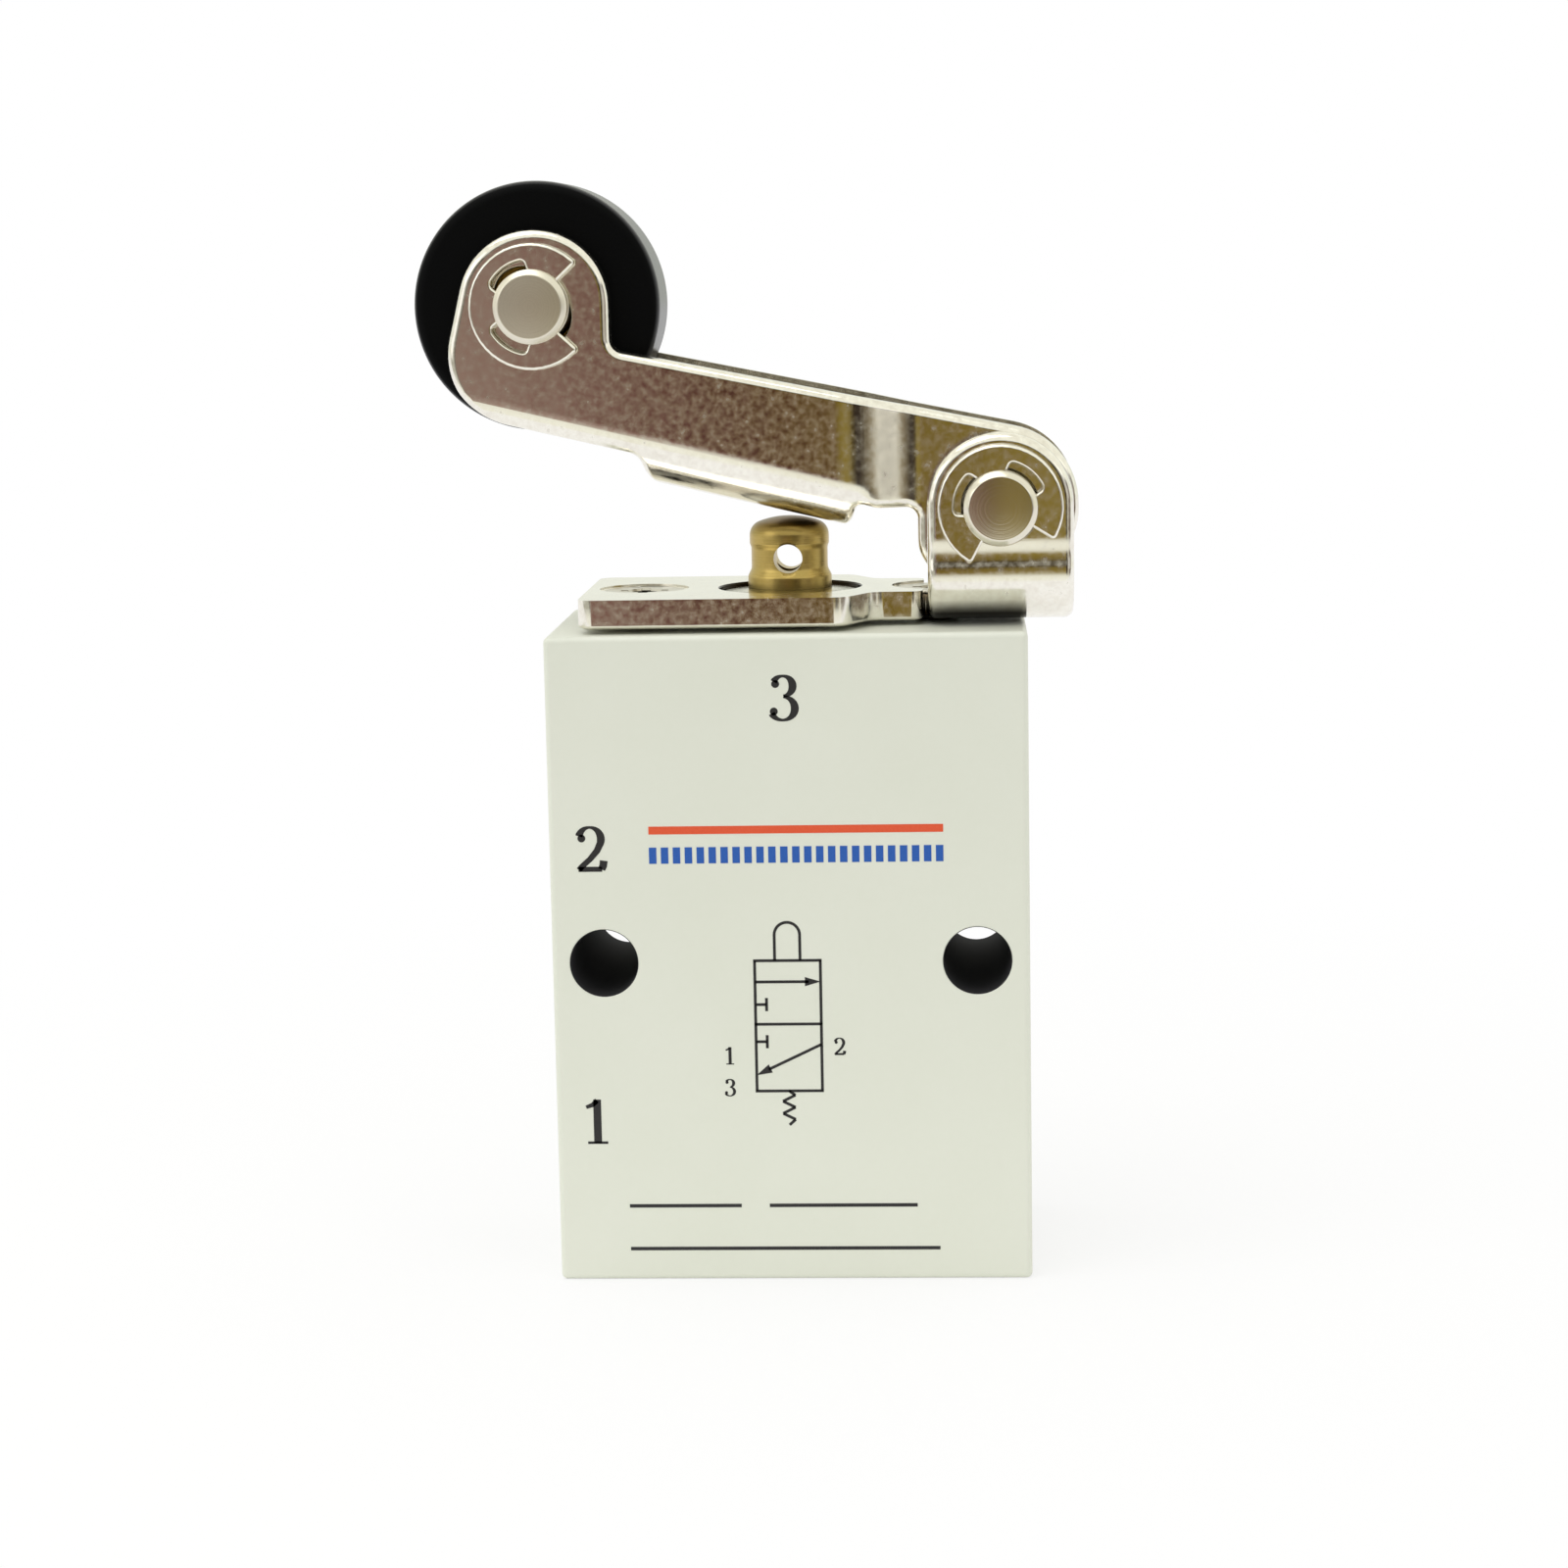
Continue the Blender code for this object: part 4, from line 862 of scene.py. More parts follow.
def make_port_thread(name, height, finish):
    """The ridge of one port's thread, with its narrow crest turned inward."""

    def build(tree, unused, sizes):
        values = {
            "Height": sizes["Depth"],
            "Bottom Width": sizes["Root"],
            "Top Width": sizes["Crest"],
            "Offset": 0.0,
        }
        ridge = tree.node("GeometryNodeCurvePrimitiveQuadrilateral", {"mode": "TRAPEZOID"}, values)
        inward = tree.node("GeometryNodeTransform", {}, {"Geometry": ridge, "Rotation": (0, 0, pi / 2)})
        return helix(tree, sizes, inward)

    depth = PORT_ROOT_RADIUS + THREAD_BITE - THREAD_CREST_RADIUS
    sizes = {
        "Turns": THREAD_TURNS,
        "Radius": THREAD_CREST_RADIUS + depth / 2,
        "Height": THREAD_TURNS * THREAD_PITCH,
        "Depth": depth,
        "Root": THREAD_ROOT_WIDTH,
        "Crest": THREAD_CREST_WIDTH,
    }
    thread = grown(name, build, sizes, finish, bpy.data.meshes.new(name))
    start = BODY_LOW.x + PORT_MOUTH + THREAD_START
    thread.data.transform(Matrix.Translation((start, AXIS_Y, height)) @ AXIS_TURNS["X"])
    thread.data.set_sharp_from_angle(angle=radians(40))
    dress(thread, finish, "turned_steel", "body")


for name, height in (("outlet_thread", OUTLET_Z), ("supply_thread", SUPPLY_Z)):
    bare_metal = make_turned_metal(
        name + "_metal", (0, AXIS_Y, height), "X", colour(92, 91, 95), colour(126, 124, 126), 0.38
    )
    make_port_thread(name, height, bare_metal)


# End plug, poppet and springs inside the block
# The slotted brass plug closes the bore from below. On it stands the spring that holds the poppet, a
# brass cup with a rubber disc, against its seat. A second spring lifts the plunger.


def middle(node):
    low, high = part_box(node)
    return (low + high) / 2


def radius(node):
    """Half the width of a round node."""
    low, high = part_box(node)
    return (high.x - low.x) / 2


def make_rubber():
    """Nitrile rubber, black and dull with a faint bloom."""
    material, tree, surface = new_finish("black_rubber")
    where = place_on_piece(tree)
    bloom = noise(tree, where, 0.4 * MM, 4.0)
    tree.feed(surface.inputs["Base Color"], tree.mix(bloom, colour(24, 24, 26), colour(40, 40, 42)))
    tree.feed(surface.inputs["Roughness"], 0.55 + bloom * 0.2)
    tree.feed(surface.inputs["Normal"], bump(tree, bloom, 0.01 * MM, 0.4))
    return material


GROOVE_DEPTH = 1.0 * MM
GROOVE_WIDTH = 1.3 * MM
PLUG_GROOVE_RISE = 2.9 * MM
PLUG_SPIGOT_RADIUS = 2.2 * MM
PLUG_SPIGOT_HEIGHT = 1.0 * MM
PLUG_SLOT_WIDTH = 1.2 * MM
PLUG_SLOT_DEPTH = 1.2 * MM
CORD_STEP = 24
BREAK = 0.15 * MM


def groove(outer, low):
    """The corners of a seal groove in a turned wall, from its lower edge to its upper one."""
    inner = outer - GROOVE_DEPTH
    high = low + GROOVE_WIDTH
    return [
        (outer, low, BREAK / 2),
        (inner, low, BREAK),
        (inner, high, BREAK),
        (outer, high, BREAK / 2),
    ]


def slab(name, low, high):
    """A square cutter between two corners."""
    return add_mesh_piece(name, square(Vector(low), Vector(high)))


def make_end_plug():
    low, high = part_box("end_plug")
    outer = radius("end_plug")
    shoulder = high.z - PLUG_SPIGOT_HEIGHT
    profile = [
        (0, low.z, 0),
        (outer, low.z, 2 * BREAK),
        *groove(outer, low.z + PLUG_GROOVE_RISE),
        (outer, shoulder, BREAK),
        (PLUG_SPIGOT_RADIUS, shoulder, BREAK),
        (PLUG_SPIGOT_RADIUS, high.z, 2 * BREAK),
        (0, high.z, 0),
    ]
    plug = turned("slotted_end_plug", profile, (0, AXIS_Y, 0))
    half = PLUG_SLOT_WIDTH / 2
    reach = outer + SLACK
    slot_low = (-reach, AXIS_Y - half, low.z - SLACK)
    slot_high = (reach, AXIS_Y + half, low.z + PLUG_SLOT_DEPTH)
    return smooth(cut(plug, slab("cut_slot", slot_low, slot_high)))


def make_o_ring(node, body, finish):
    """A ring of round cord, as wide as its node."""
    low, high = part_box(node)
    cord = (high.z - low.z) / 2
    ring = radius(node) - cord
    height = (low.z + high.z) / 2
    turns = [radians(turn) for turn in range(0, 360, CORD_STEP)]
    profile = [(ring + cord * cos(turn), height + cord * sin(turn), 0) for turn in turns]
    piece = smooth(turned(node + "_cord", profile, (0, AXIS_Y, 0)), radians(60))
    dress(piece, finish, "black_rubber", body, node)


POPPET_LIP = 0.6 * MM
POPPET_CUP_DEPTH = 1.2 * MM
POPPET_THICKNESS = 2.6 * MM
POPPET_STEM_RADIUS = 1.5 * MM


def make_poppet():
    low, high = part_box("poppet")
    outer = radius("poppet")
    cup = outer - POPPET_LIP
    disc_low = high.z - POPPET_THICKNESS
    profile = [
        (0, low.z, 0),
        (POPPET_STEM_RADIUS, low.z, 2 * BREAK),
        (POPPET_STEM_RADIUS, disc_low, BREAK),
        (outer, disc_low, 2 * BREAK),
        (outer, high.z, BREAK),
        (cup, high.z, BREAK),
        (cup, high.z - POPPET_CUP_DEPTH, BREAK),
        (0, high.z - POPPET_CUP_DEPTH, 0),
    ]
    return smooth(turned("poppet_cup", profile, (0, AXIS_Y, 0)))


def make_poppet_disc():
    low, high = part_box("poppet_seal")
    outer = radius("poppet_seal")
    profile = [(0, low.z, 0), (outer, low.z, BREAK), (outer, high.z, BREAK), (0, high.z, 0)]
    return smooth(turned("poppet_disc", profile, (0, AXIS_Y, 0)))


def make_spring_wire():
    """Drawn music wire, bright with faint lines across the turns."""
    material, tree, surface = new_finish("spring_wire")
    where = place_on_piece(tree)
    streak = noise(tree, where, 0.2 * MM, 4.0, 0.7)
    tree.feed(surface.inputs["Base Color"], tree.mix(streak, colour(170, 170, 172), colour(205, 205, 206)))
    surface.inputs["Metallic"].default_value = 1.0
    tree.feed(surface.inputs["Roughness"], 0.24 + streak * 0.14)
    tree.feed(surface.inputs["Normal"], bump(tree, streak, 0.004 * MM, 0.4))
    return material


SPRING_WIRE = 0.7 * MM
WIRE_SIDES = 14


def make_spring(node, turns, finish):
    """A wound spring between the heights of its node."""

    def build(tree, unused, sizes):
        values = {"Resolution": WIRE_SIDES, "Radius": sizes["Wire"]}
        section = tree.node("GeometryNodeCurvePrimitiveCircle", {}, values)
        return helix(tree, sizes, section)

    low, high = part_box(node)
    wire = SPRING_WIRE / 2
    sizes = {
        "Turns": turns,
        "Radius": radius(node) - wire,
        "Height": high.z - low.z - SPRING_WIRE,
        "Wire": wire,
    }
    spring = grown(node + "_wire", build, sizes, finish, bpy.data.meshes.new(node))
    spring.data.transform(Matrix.Translation((0, AXIS_Y, low.z + wire)))
    dress(spring, finish, "spring_wire", "body", node)
    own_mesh(spring)


rubber = make_rubber()
spring_steel = make_spring_wire()
brass = make_turned_metal(
    "turned_brass", (0, AXIS_Y, 0), "Z", colour(170, 145, 82), colour(198, 174, 108), 0.24
)
dress(make_end_plug(), brass, "brass", "body", "end_plug")
dress(make_poppet(), brass, "brass", "poppet", "poppet")
dress(make_poppet_disc(), rubber, "black_rubber", "poppet", "poppet_seal")
make_o_ring("end_plug_o_ring", "body", rubber)
make_o_ring("bush_o_ring", "body", rubber)
make_o_ring("plunger_o_ring", "plunger", rubber)
make_spring("plunger_spring", 6, spring_steel)
make_spring("poppet_spring", 5, spring_steel)


# Guide bush and plunger
# The bush is turned from steel and the plunger that runs in it from brass. The plunger's cross hole above
# the plate lets the outlet's air out when the lever is free, and its dome is darkened with painted shade
# from the lever's web above it.

BUSH_BORE_RADIUS = 2.95 * MM
BUSH_GROOVE_RISE = 2.5 * MM
PLUNGER_RADIUS = 2.85 * MM
HEAD_RADIUS = 2.7 * MM
HEAD_SHOULDER = 1.0 * MM
HEAD_DOME = 6.0 * MM
HEAD_STEPS = 8
WAIST_RADIUS = 2.6 * MM
WAIST_LENGTH = 1.6 * MM
PLUNGER_TUBE_RADIUS = 2.3 * MM
PLUNGER_FLANGE_THICKNESS = 1.5 * MM
PLUNGER_GROOVE_RISE = 3.5 * MM
EXHAUST_RADIUS = 0.9 * MM
EXHAUST_HOLE_RADIUS = 0.975 * MM
EXHAUST_HOLE_DROP = 2.75 * MM
EXHAUST_LIP = 0.05 * MM
FLANGE_GAP = 0.3 * MM
DOME_SHADE_DEPTH = 1.3 * MM


def make_bush():
    low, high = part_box("guide_bush")
    outer = radius("guide_bush")
    profile = [
        (BUSH_BORE_RADIUS, low.z, BREAK),
        (outer, low.z, 2 * BREAK),
        *groove(outer, low.z + BUSH_GROOVE_RISE),
        (outer, high.z, BREAK),
        (BUSH_BORE_RADIUS, high.z, 2 * BREAK),
    ]
    return smooth(turned("turned_guide_bush", profile, (0, AXIS_Y, 0)))


def make_plunger():
    low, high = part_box("plunger")
    flange = radius("plunger")
    flange_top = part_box("guide_bush")[0].z - FLANGE_GAP
    flange_low = flange_top - PLUNGER_FLANGE_THICKNESS
    hole_z = high.z - EXHAUST_HOLE_DROP
    waist_low = hole_z - WAIST_LENGTH / 2
    waist_high = hole_z + WAIST_LENGTH / 2
    dome_z = high.z - HEAD_DOME
    shoulder = HEAD_RADIUS - HEAD_SHOULDER
    lean = asin(shoulder / (HEAD_DOME - HEAD_SHOULDER))
    shoulder_z = dome_z + (HEAD_DOME - HEAD_SHOULDER) * cos(lean)
    profile = [
        (EXHAUST_RADIUS, low.z, BREAK),
        (PLUNGER_TUBE_RADIUS, low.z, BREAK),
        (PLUNGER_TUBE_RADIUS, flange_low, BREAK),
        (flange, flange_low, BREAK),
        (flange, flange_top, BREAK),
        (PLUNGER_RADIUS, flange_top, BREAK),
        *groove(PLUNGER_RADIUS, flange_top + PLUNGER_GROOVE_RISE),
        (PLUNGER_RADIUS, waist_low - 2 * (PLUNGER_RADIUS - WAIST_RADIUS), 2 * BREAK),
        (WAIST_RADIUS, waist_low, 4 * BREAK),
        (WAIST_RADIUS, waist_high - BREAK, 4 * BREAK),
        (HEAD_RADIUS, waist_high + HEAD_RADIUS - WAIST_RADIUS, 2 * BREAK),
    ]
    for step in range(HEAD_STEPS):
        turn = (pi / 2 - lean) * step / HEAD_STEPS
        reach = shoulder + HEAD_SHOULDER * cos(turn)
        profile.append((reach, shoulder_z + HEAD_SHOULDER * sin(turn), 0))
    for step in range(HEAD_STEPS + 1):
        turn = lean * (1 - step / HEAD_STEPS)
        profile.append((HEAD_DOME * sin(turn), dome_z + HEAD_DOME * cos(turn), 0))
    profile += [(0, hole_z, 0), (EXHAUST_RADIUS, hole_z, 0)]
    plunger = turned("domed_plunger", profile, (0, AXIS_Y, 0))
    end = PLUNGER_RADIUS + SLACK
    lip = WAIST_RADIUS - EXHAUST_LIP
    flare = EXHAUST_HOLE_RADIUS + end - lip
    hole = [
        (0, -end, 0),
        (flare, -end, 0),
        (EXHAUST_HOLE_RADIUS, -lip, 0),
        (EXHAUST_HOLE_RADIUS, lip, 0),
        (flare, end, 0),
        (0, end, 0),
    ]
    return smooth(cut(plunger, turned("cut_cross_hole", hole, (0, AXIS_Y, hole_z), "Y", steps=64)))


bush_steel = make_turned_metal(
    "bush_steel", (0, AXIS_Y, 0), "Z", colour(196, 194, 184), colour(226, 224, 214), 0.2
)
# The brass darkens towards the top of the dome: painted shade under the lever's web.
plunger_brass = make_turned_metal(
    "plunger_brass",
    (0, AXIS_Y, 0),
    "Z",
    colour(170, 145, 82),
    colour(198, 174, 108),
    0.24,
    shaded_above=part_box("plunger")[1].z - DOME_SHADE_DEPTH,
)
dress(make_bush(), bush_steel, "turned_steel", "body", "guide_bush")
dress(make_plunger(), plunger_brass, "brass", "plunger", "plunger")


# Bracket
# A blank of 2 mm steel sheet with a narrow neck, bent up into two ears and nickel plated. Short relief
# cuts at the neck let the ears bend beside the flat base.

BRACKET_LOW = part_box("lever_bracket")[0]
BRACKET_SHEET = 2.0 * MM
PIVOT = middle("pivot_pin")
ROLLER_AXIS = middle("roller_pin")
BASE_HALF = 8.0 * MM
BASE_RIGHT = 4.0 * MM
BASE_CORNER = 1.0 * MM
NECK_LEFT = 5.7 * MM
NECK_HALF = 4.7 * MM
NECK_FILLET = 1.3 * MM
NECK_CORNER = 0.8 * MM
EAR_HALF = 6.5 * MM
EAR_RADIUS = 4.85 * MM
EAR_BEND = 3.4 * MM
EAR_DIP = 0.12 * MM
EAR_DIP_RISE = 1.0 * MM
EAR_DIP_END = 2.4 * MM
RELIEF_WIDTH = 0.35 * MM
RELIEF_DEPTH = 0.4 * MM
BRACKET_RIMS = (0.6 * MM, 0.22 * MM)
BASE_RIM_SHARE = 0.5
# Height and fade of the painted shade low on the ears where they stand over the block.
SHADE_UNDER_EAR_HEIGHT = 1.5 * MM
SHADE_UNDER_EAR_FADE = 1.0 * MM
HOLE_RIM = 0.08 * MM
SCREW_X = 10.0 * MM
SCREW_HOLE_RADIUS = 1.55 * MM
SCREW_HEAD_RADIUS = 2.9 * MM
SCREW_HEAD_HEIGHT = 1.5 * MM
SCREW_PLAY = 0.15 * MM
PIN_HOLE_RADIUS = 2.55 * MM
BEND_STEPS = 12


def pressed(name, outline, sheet, rims, holes, cuts, bend, steps=5):
    """Sheet metal: a flat outline gets its thickness, rolled rims and holes, and bend() then forms it."""
    shape = bmesh.new()
    thicken(shape, [(x, across, 0) for x, across in outline], (0, 0, sheet))
    rolled = {"segments": steps, "profile": 0.5, "affect": "EDGES", "clamp_overlap": False}
    for depth, size in zip((0, sheet), rims):
        edges = [edge for edge in shape.edges if all(vert.co.z == depth for vert in edge.verts)]
        bmesh.ops.bevel(shape, geom=edges, offset=size, **rolled)
    piece = add_mesh_piece(name, shape)
    if holes:
        cut(piece, *holes)
    shape = bmesh.new()
    shape.from_mesh(piece.data)
    for axis, places in cuts:
        for place in places:
            everything = shape.verts[:] + shape.edges[:] + shape.faces[:]
            spot = Vector(axis) * place
            bmesh.ops.bisect_plane(shape, geom=everything, dist=DOUBLES, plane_co=spot, plane_no=axis)
    for vert in shape.verts:
        vert.co = bend(*vert.co)
    bmesh.ops.recalc_face_normals(shape, faces=shape.faces)
    shape.to_mesh(piece.data)
    shape.free()
    return smooth(piece, radians(40))


def both_sides(half):
    """A whole outline from the (x, across, radius) corners of its one side."""
    mirrored = [(x, -across, fillet) for x, across, fillet in half[::-1]]
    return rounded(half + mirrored)


def hole_cutter(x, across, size, sheet):
    """A round cutter through flat sheet that also breaks the hole's two edges."""
    flare = size + HOLE_RIM + SLACK
    profile = [
        (0, -SLACK, 0),
        (flare, -SLACK, 0),
        (size, HOLE_RIM, 2 * HOLE_RIM),
        (size, sheet - HOLE_RIM, 2 * HOLE_RIM),
        (flare, sheet + SLACK, 0),
        (0, sheet + SLACK, 0),
    ]
    return turned("cut_hole", profile, (x, across, 0))


def make_bracket():
    sheet = BRACKET_SHEET
    flat_half = EAR_HALF - EAR_BEND
    arc_length = EAR_BEND * pi / 2
    wall_start = flat_half + arc_length
    bottom = BRACKET_LOW.z

    def spread(z):
        """How far out on the flat blank a height on the ear lies."""
        return wall_start + z - bottom - EAR_BEND

    def dip(rise):
        """How far the ear's outer face falls in just above the bend."""
        if rise < EAR_DIP_RISE:
            return EAR_DIP * (1 - cos(pi * rise / EAR_DIP_RISE)) / 2
        along = min(1, (rise - EAR_DIP_RISE) / (EAR_DIP_END - EAR_DIP_RISE))
        return EAR_DIP * (1 + cos(pi * along)) / 2

    def bend(x, across, depth):
        side = copysign(1, across)
        reach = abs(across)
        if x < ear_left - RELIEF_WIDTH / 2 or reach <= flat_half:
            low_rim = depth < BRACKET_RIMS[0] + DOUBLES
            return x, AXIS_Y + across, bottom + depth * (BASE_RIM_SHARE if low_rim else 1)
        if reach < wall_start:
            turn = (reach - flat_half) / EAR_BEND
            out = flat_half + (EAR_BEND - depth) * sin(turn)
            return x, AXIS_Y + side * out, bottom + EAR_BEND - (EAR_BEND - depth) * cos(turn)
        rise = reach - wall_start
        out = EAR_HALF - depth - dip(rise) * (1 - depth / sheet)
        return x, AXIS_Y + side * out, bottom + EAR_BEND + rise

    ear_left = PIVOT.x - EAR_RADIUS
    ear_right = PIVOT.x + EAR_RADIUS
    ear_top = spread(PIVOT.z + EAR_RADIUS)
    relief_in = flat_half - RELIEF_DEPTH
    half = [
        (BRACKET_LOW.x, BASE_HALF, BASE_CORNER),
        (BASE_RIGHT, BASE_HALF, NECK_FILLET),
        (NECK_LEFT, NECK_HALF, NECK_FILLET),
        (ear_left - RELIEF_WIDTH, NECK_HALF, NECK_CORNER),
        (ear_left - RELIEF_WIDTH, relief_in, RELIEF_WIDTH / 2),
        (ear_left, relief_in, RELIEF_WIDTH / 2),
        (ear_left, ear_top, EAR_RADIUS),
        (ear_right, ear_top, EAR_RADIUS),
    ]
    ears = [side * spread(PIVOT.z) for side in (-1, 1)]
    holes = [hole_cutter(PIVOT.x, across, PIN_HOLE_RADIUS, sheet) for across in ears]
    holes.append(hole_cutter(0, 0, UPPER_BORE_RADIUS, sheet))
    head = SCREW_HEAD_RADIUS + SCREW_PLAY
    seat_low = sheet - SCREW_HEAD_HEIGHT - SCREW_PLAY
    for side in (-1, 1):
        profile = [
            (0, -SLACK, 0),
            (SCREW_HOLE_RADIUS, -SLACK, 0),
            (SCREW_HOLE_RADIUS, seat_low, 0),
            (head, sheet - SCREW_PLAY, 0),
            (head, sheet + SLACK, 0),
            (0, sheet + SLACK, 0),
        ]
        holes.append(turned("cut_countersink", profile, (side * SCREW_X, 0, 0)))
    places = []
    for step in range(BEND_STEPS + 1):
        on_bend = flat_half + arc_length * step / BEND_STEPS
        above_bend = wall_start + EAR_DIP_END * step / BEND_STEPS
        places += [on_bend, -on_bend, above_bend, -above_bend]
    cuts = [((0, 1, 0), places)]
    return pressed("pressed_bracket", both_sides(half), sheet, BRACKET_RIMS, holes, cuts, bend)


def make_plate_metal():
    """Bright nickel over a rolled sheet: soft mottling, a few specks, and painted shade low on the ears over
    the block and in the plate's hole for the bush.
    """
    material, tree, surface = new_finish("nickel_plate")
    where = place_on_piece(tree)
    mottle = ((noise(tree, where, 0.5 * MM, 3.0, 0.55) - 0.32) * 2.8).clamped()
    cloud = noise(tree, where, 2.8 * MM, 3.0)
    speck = ((noise(tree, where, 0.5 * MM, 2.0) - 0.66) * 9).clamped()
    tone = (mottle * 0.5 + cloud * 0.5).clamped()
    plating = tree.mix(tone, colour(226, 220, 208), colour(252, 250, 242))
    stained = tree.mix(speck * 0.2, plating, colour(140, 120, 102))
    x, y, z = tree.parts(where)
    # Painted shade: the ears darken towards the bottom of their bends where they stand over the block.
    over_block = (x - BODY_HIGH.x) * (x - PIVOT.x + EAR_RADIUS + RELIEF_WIDTH) < 0
    shade_under_ear = ((BRACKET_LOW.z + SHADE_UNDER_EAR_HEIGHT - z) * (1 / SHADE_UNDER_EAR_FADE)).clamped() * over_block
    # Painted shade: the plate is dark in the wall and rims of its hole for the bush.
    off_axis = y - AXIS_Y
    in_bore = (x * x + off_axis * off_axis) ** 0.5 < UPPER_BORE_RADIUS + HOLE_RIM
    bore = in_bore * (z < BRACKET_LOW.z + BRACKET_SHEET + HOLE_RIM)
    tree.feed(surface.inputs["Base Color"], tree.mix(shade_under_ear.larger(bore), stained, colour(44, 36, 26)))
    surface.inputs["Metallic"].default_value = 1.0
    tree.feed(surface.inputs["Roughness"], 0.11 + mottle * 0.13 + speck * 0.08)
    wave = noise(tree, where, 1.4 * MM, 1.0)
    tree.feed(surface.inputs["Normal"], bump(tree, wave, 0.015 * MM, 0.35))
    return material


nickel = make_plate_metal()
dress(make_bracket(), nickel, "nickel_plate", "body", "lever_bracket")


# Screws that hold the bracket
# Two countersunk steel screws with a cross recess, driven flush into the block through the base. They
# are one screw, placed twice.

RECESS_HALF_LENGTH = 2.1 * MM
RECESS_HALF_WIDTH = 0.42 * MM
RECESS_DEPTH = 1.1 * MM
RECESS_FLOOR_SHARE = 0.55
SOCKET_RADIUS = 1.2 * MM
SOCKET_FLOOR_RADIUS = 0.5 * MM
SOCKET_DEPTH = 1.3 * MM
SHANK_RADIUS = 1.4 * MM


def make_screws(finish):
    """One screw on the valve's axis, copied by a node tree to its two places."""

    def build(tree, screw, sizes):
        return in_a_row(tree, screw, 2, sizes["Spacing"] * -0.5, sizes["Spacing"])

    low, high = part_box("bracket_screw_left")
    top = high.z
    profile = [
        (0, low.z, 0),
        (SHANK_RADIUS, low.z, 2 * BREAK),
        (SHANK_RADIUS, top - SCREW_HEAD_HEIGHT, BREAK),
        (SCREW_HEAD_RADIUS, top - SCREW_PLAY, BREAK / 3),
        (SCREW_HEAD_RADIUS, top, BREAK / 2),
        (0, top, 0),
    ]
    screw = turned("screw", profile, (0, AXIS_Y, 0), steps=64)
    flare = (SOCKET_RADIUS - SOCKET_FLOOR_RADIUS) / SOCKET_DEPTH
    socket = [
        (0, top - SOCKET_DEPTH, 0),
        (SOCKET_FLOOR_RADIUS, top - SOCKET_DEPTH, 0),
        (SOCKET_RADIUS + flare * SLACK, top + SLACK, 0),
        (0, top + SLACK, 0),
    ]
    halves = (RECESS_HALF_LENGTH, RECESS_HALF_WIDTH)
    cutters = []
    for half_x, half_y in (halves, halves[::-1]):
        arm_low = (-half_x, AXIS_Y - half_y, top - RECESS_DEPTH)
        arm_high = (half_x, AXIS_Y + half_y, top + SLACK)
        arm = slab("cut_recess", arm_low, arm_high)
        for vert in arm.data.vertices:
            if vert.co.z < top:
                vert.co.x *= RECESS_FLOOR_SHARE
                vert.co.y = AXIS_Y + (vert.co.y - AXIS_Y) * RECESS_FLOOR_SHARE
        cutters.append(arm)
    smooth(cut(screw, *cutters, turned("cut_socket", socket, (0, AXIS_Y, 0))))
    pair = grown("bracket_screws", build, {"Spacing": 2 * SCREW_X}, finish, screw.data)
    bpy.data.objects.remove(screw, do_unlink=True)
    return pair


# Below the rim of the head the screw steel is painted nearly black: painted shade in the cross recess.
recess_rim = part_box("bracket_screw_left")[1].z - BREAK
screw_steel = make_turned_metal(
    "screw_steel", (0, AXIS_Y, 0), "Z", colour(196, 192, 180), colour(228, 224, 214), 0.28, recess_rim
)
screws = make_screws(screw_steel)
dress(screws, screw_steel, "turned_steel", "body", "bracket_screw_left", "bracket_screw_right")


# Lever
# A blank of 1.5 mm steel sheet, folded up into a channel whose web presses the plunger. The two arms
# are pinched in to pass between the ears, and their other ends widen into round eyes for the roller.

LEVER_SHEET = 1.5 * MM
LEVER_RIMS = (0.6 * MM, 0.3 * MM)
LEVER_BEND = 3.3 * MM
ROLLER_END_RADIUS = 5.05 * MM
PIVOT_END_RADIUS = 5.25 * MM
ARM_SLOPE = radians(11.7)
ARM_UNDERSIDE = 0.13 * MM
HEEL_RADIUS = 5.0 * MM
HEEL_STEP = 1.52 * MM
CROOK_RADIUS = 0.9 * MM
WEB_SLOPE = radians(13.55)
WEB_DROP = 3.82 * MM
WEB_LEFT = 22.99 * MM
WEB_RIGHT = 10.58 * MM
WEB_TAPER = 1.06 * MM
WEB_RIGHT_STEP, WEB_LEFT_STEP = 0.5 * WEB_TAPER, 0.4 * WEB_TAPER
WEB_CORNER = 0.8 * MM
JOGGLE_LEFT = 10.9 * MM
JOGGLE_RIGHT = 5.2 * MM
JOGGLE_STEPS = 20
JOGGLE_LATENESS = 1.25
ARM_SIDE_PLAY = 0.3 * MM
LOBE_LEFT = 5.5 * MM
LOBE_DROP = 4.9 * MM
LOBE_RADIUS = 2.6 * MM
LOBE_REAR_RADIUS = 4.5 * MM
UNBEND_LENGTH = 1.6 * MM
UNBEND_STEPS = 6


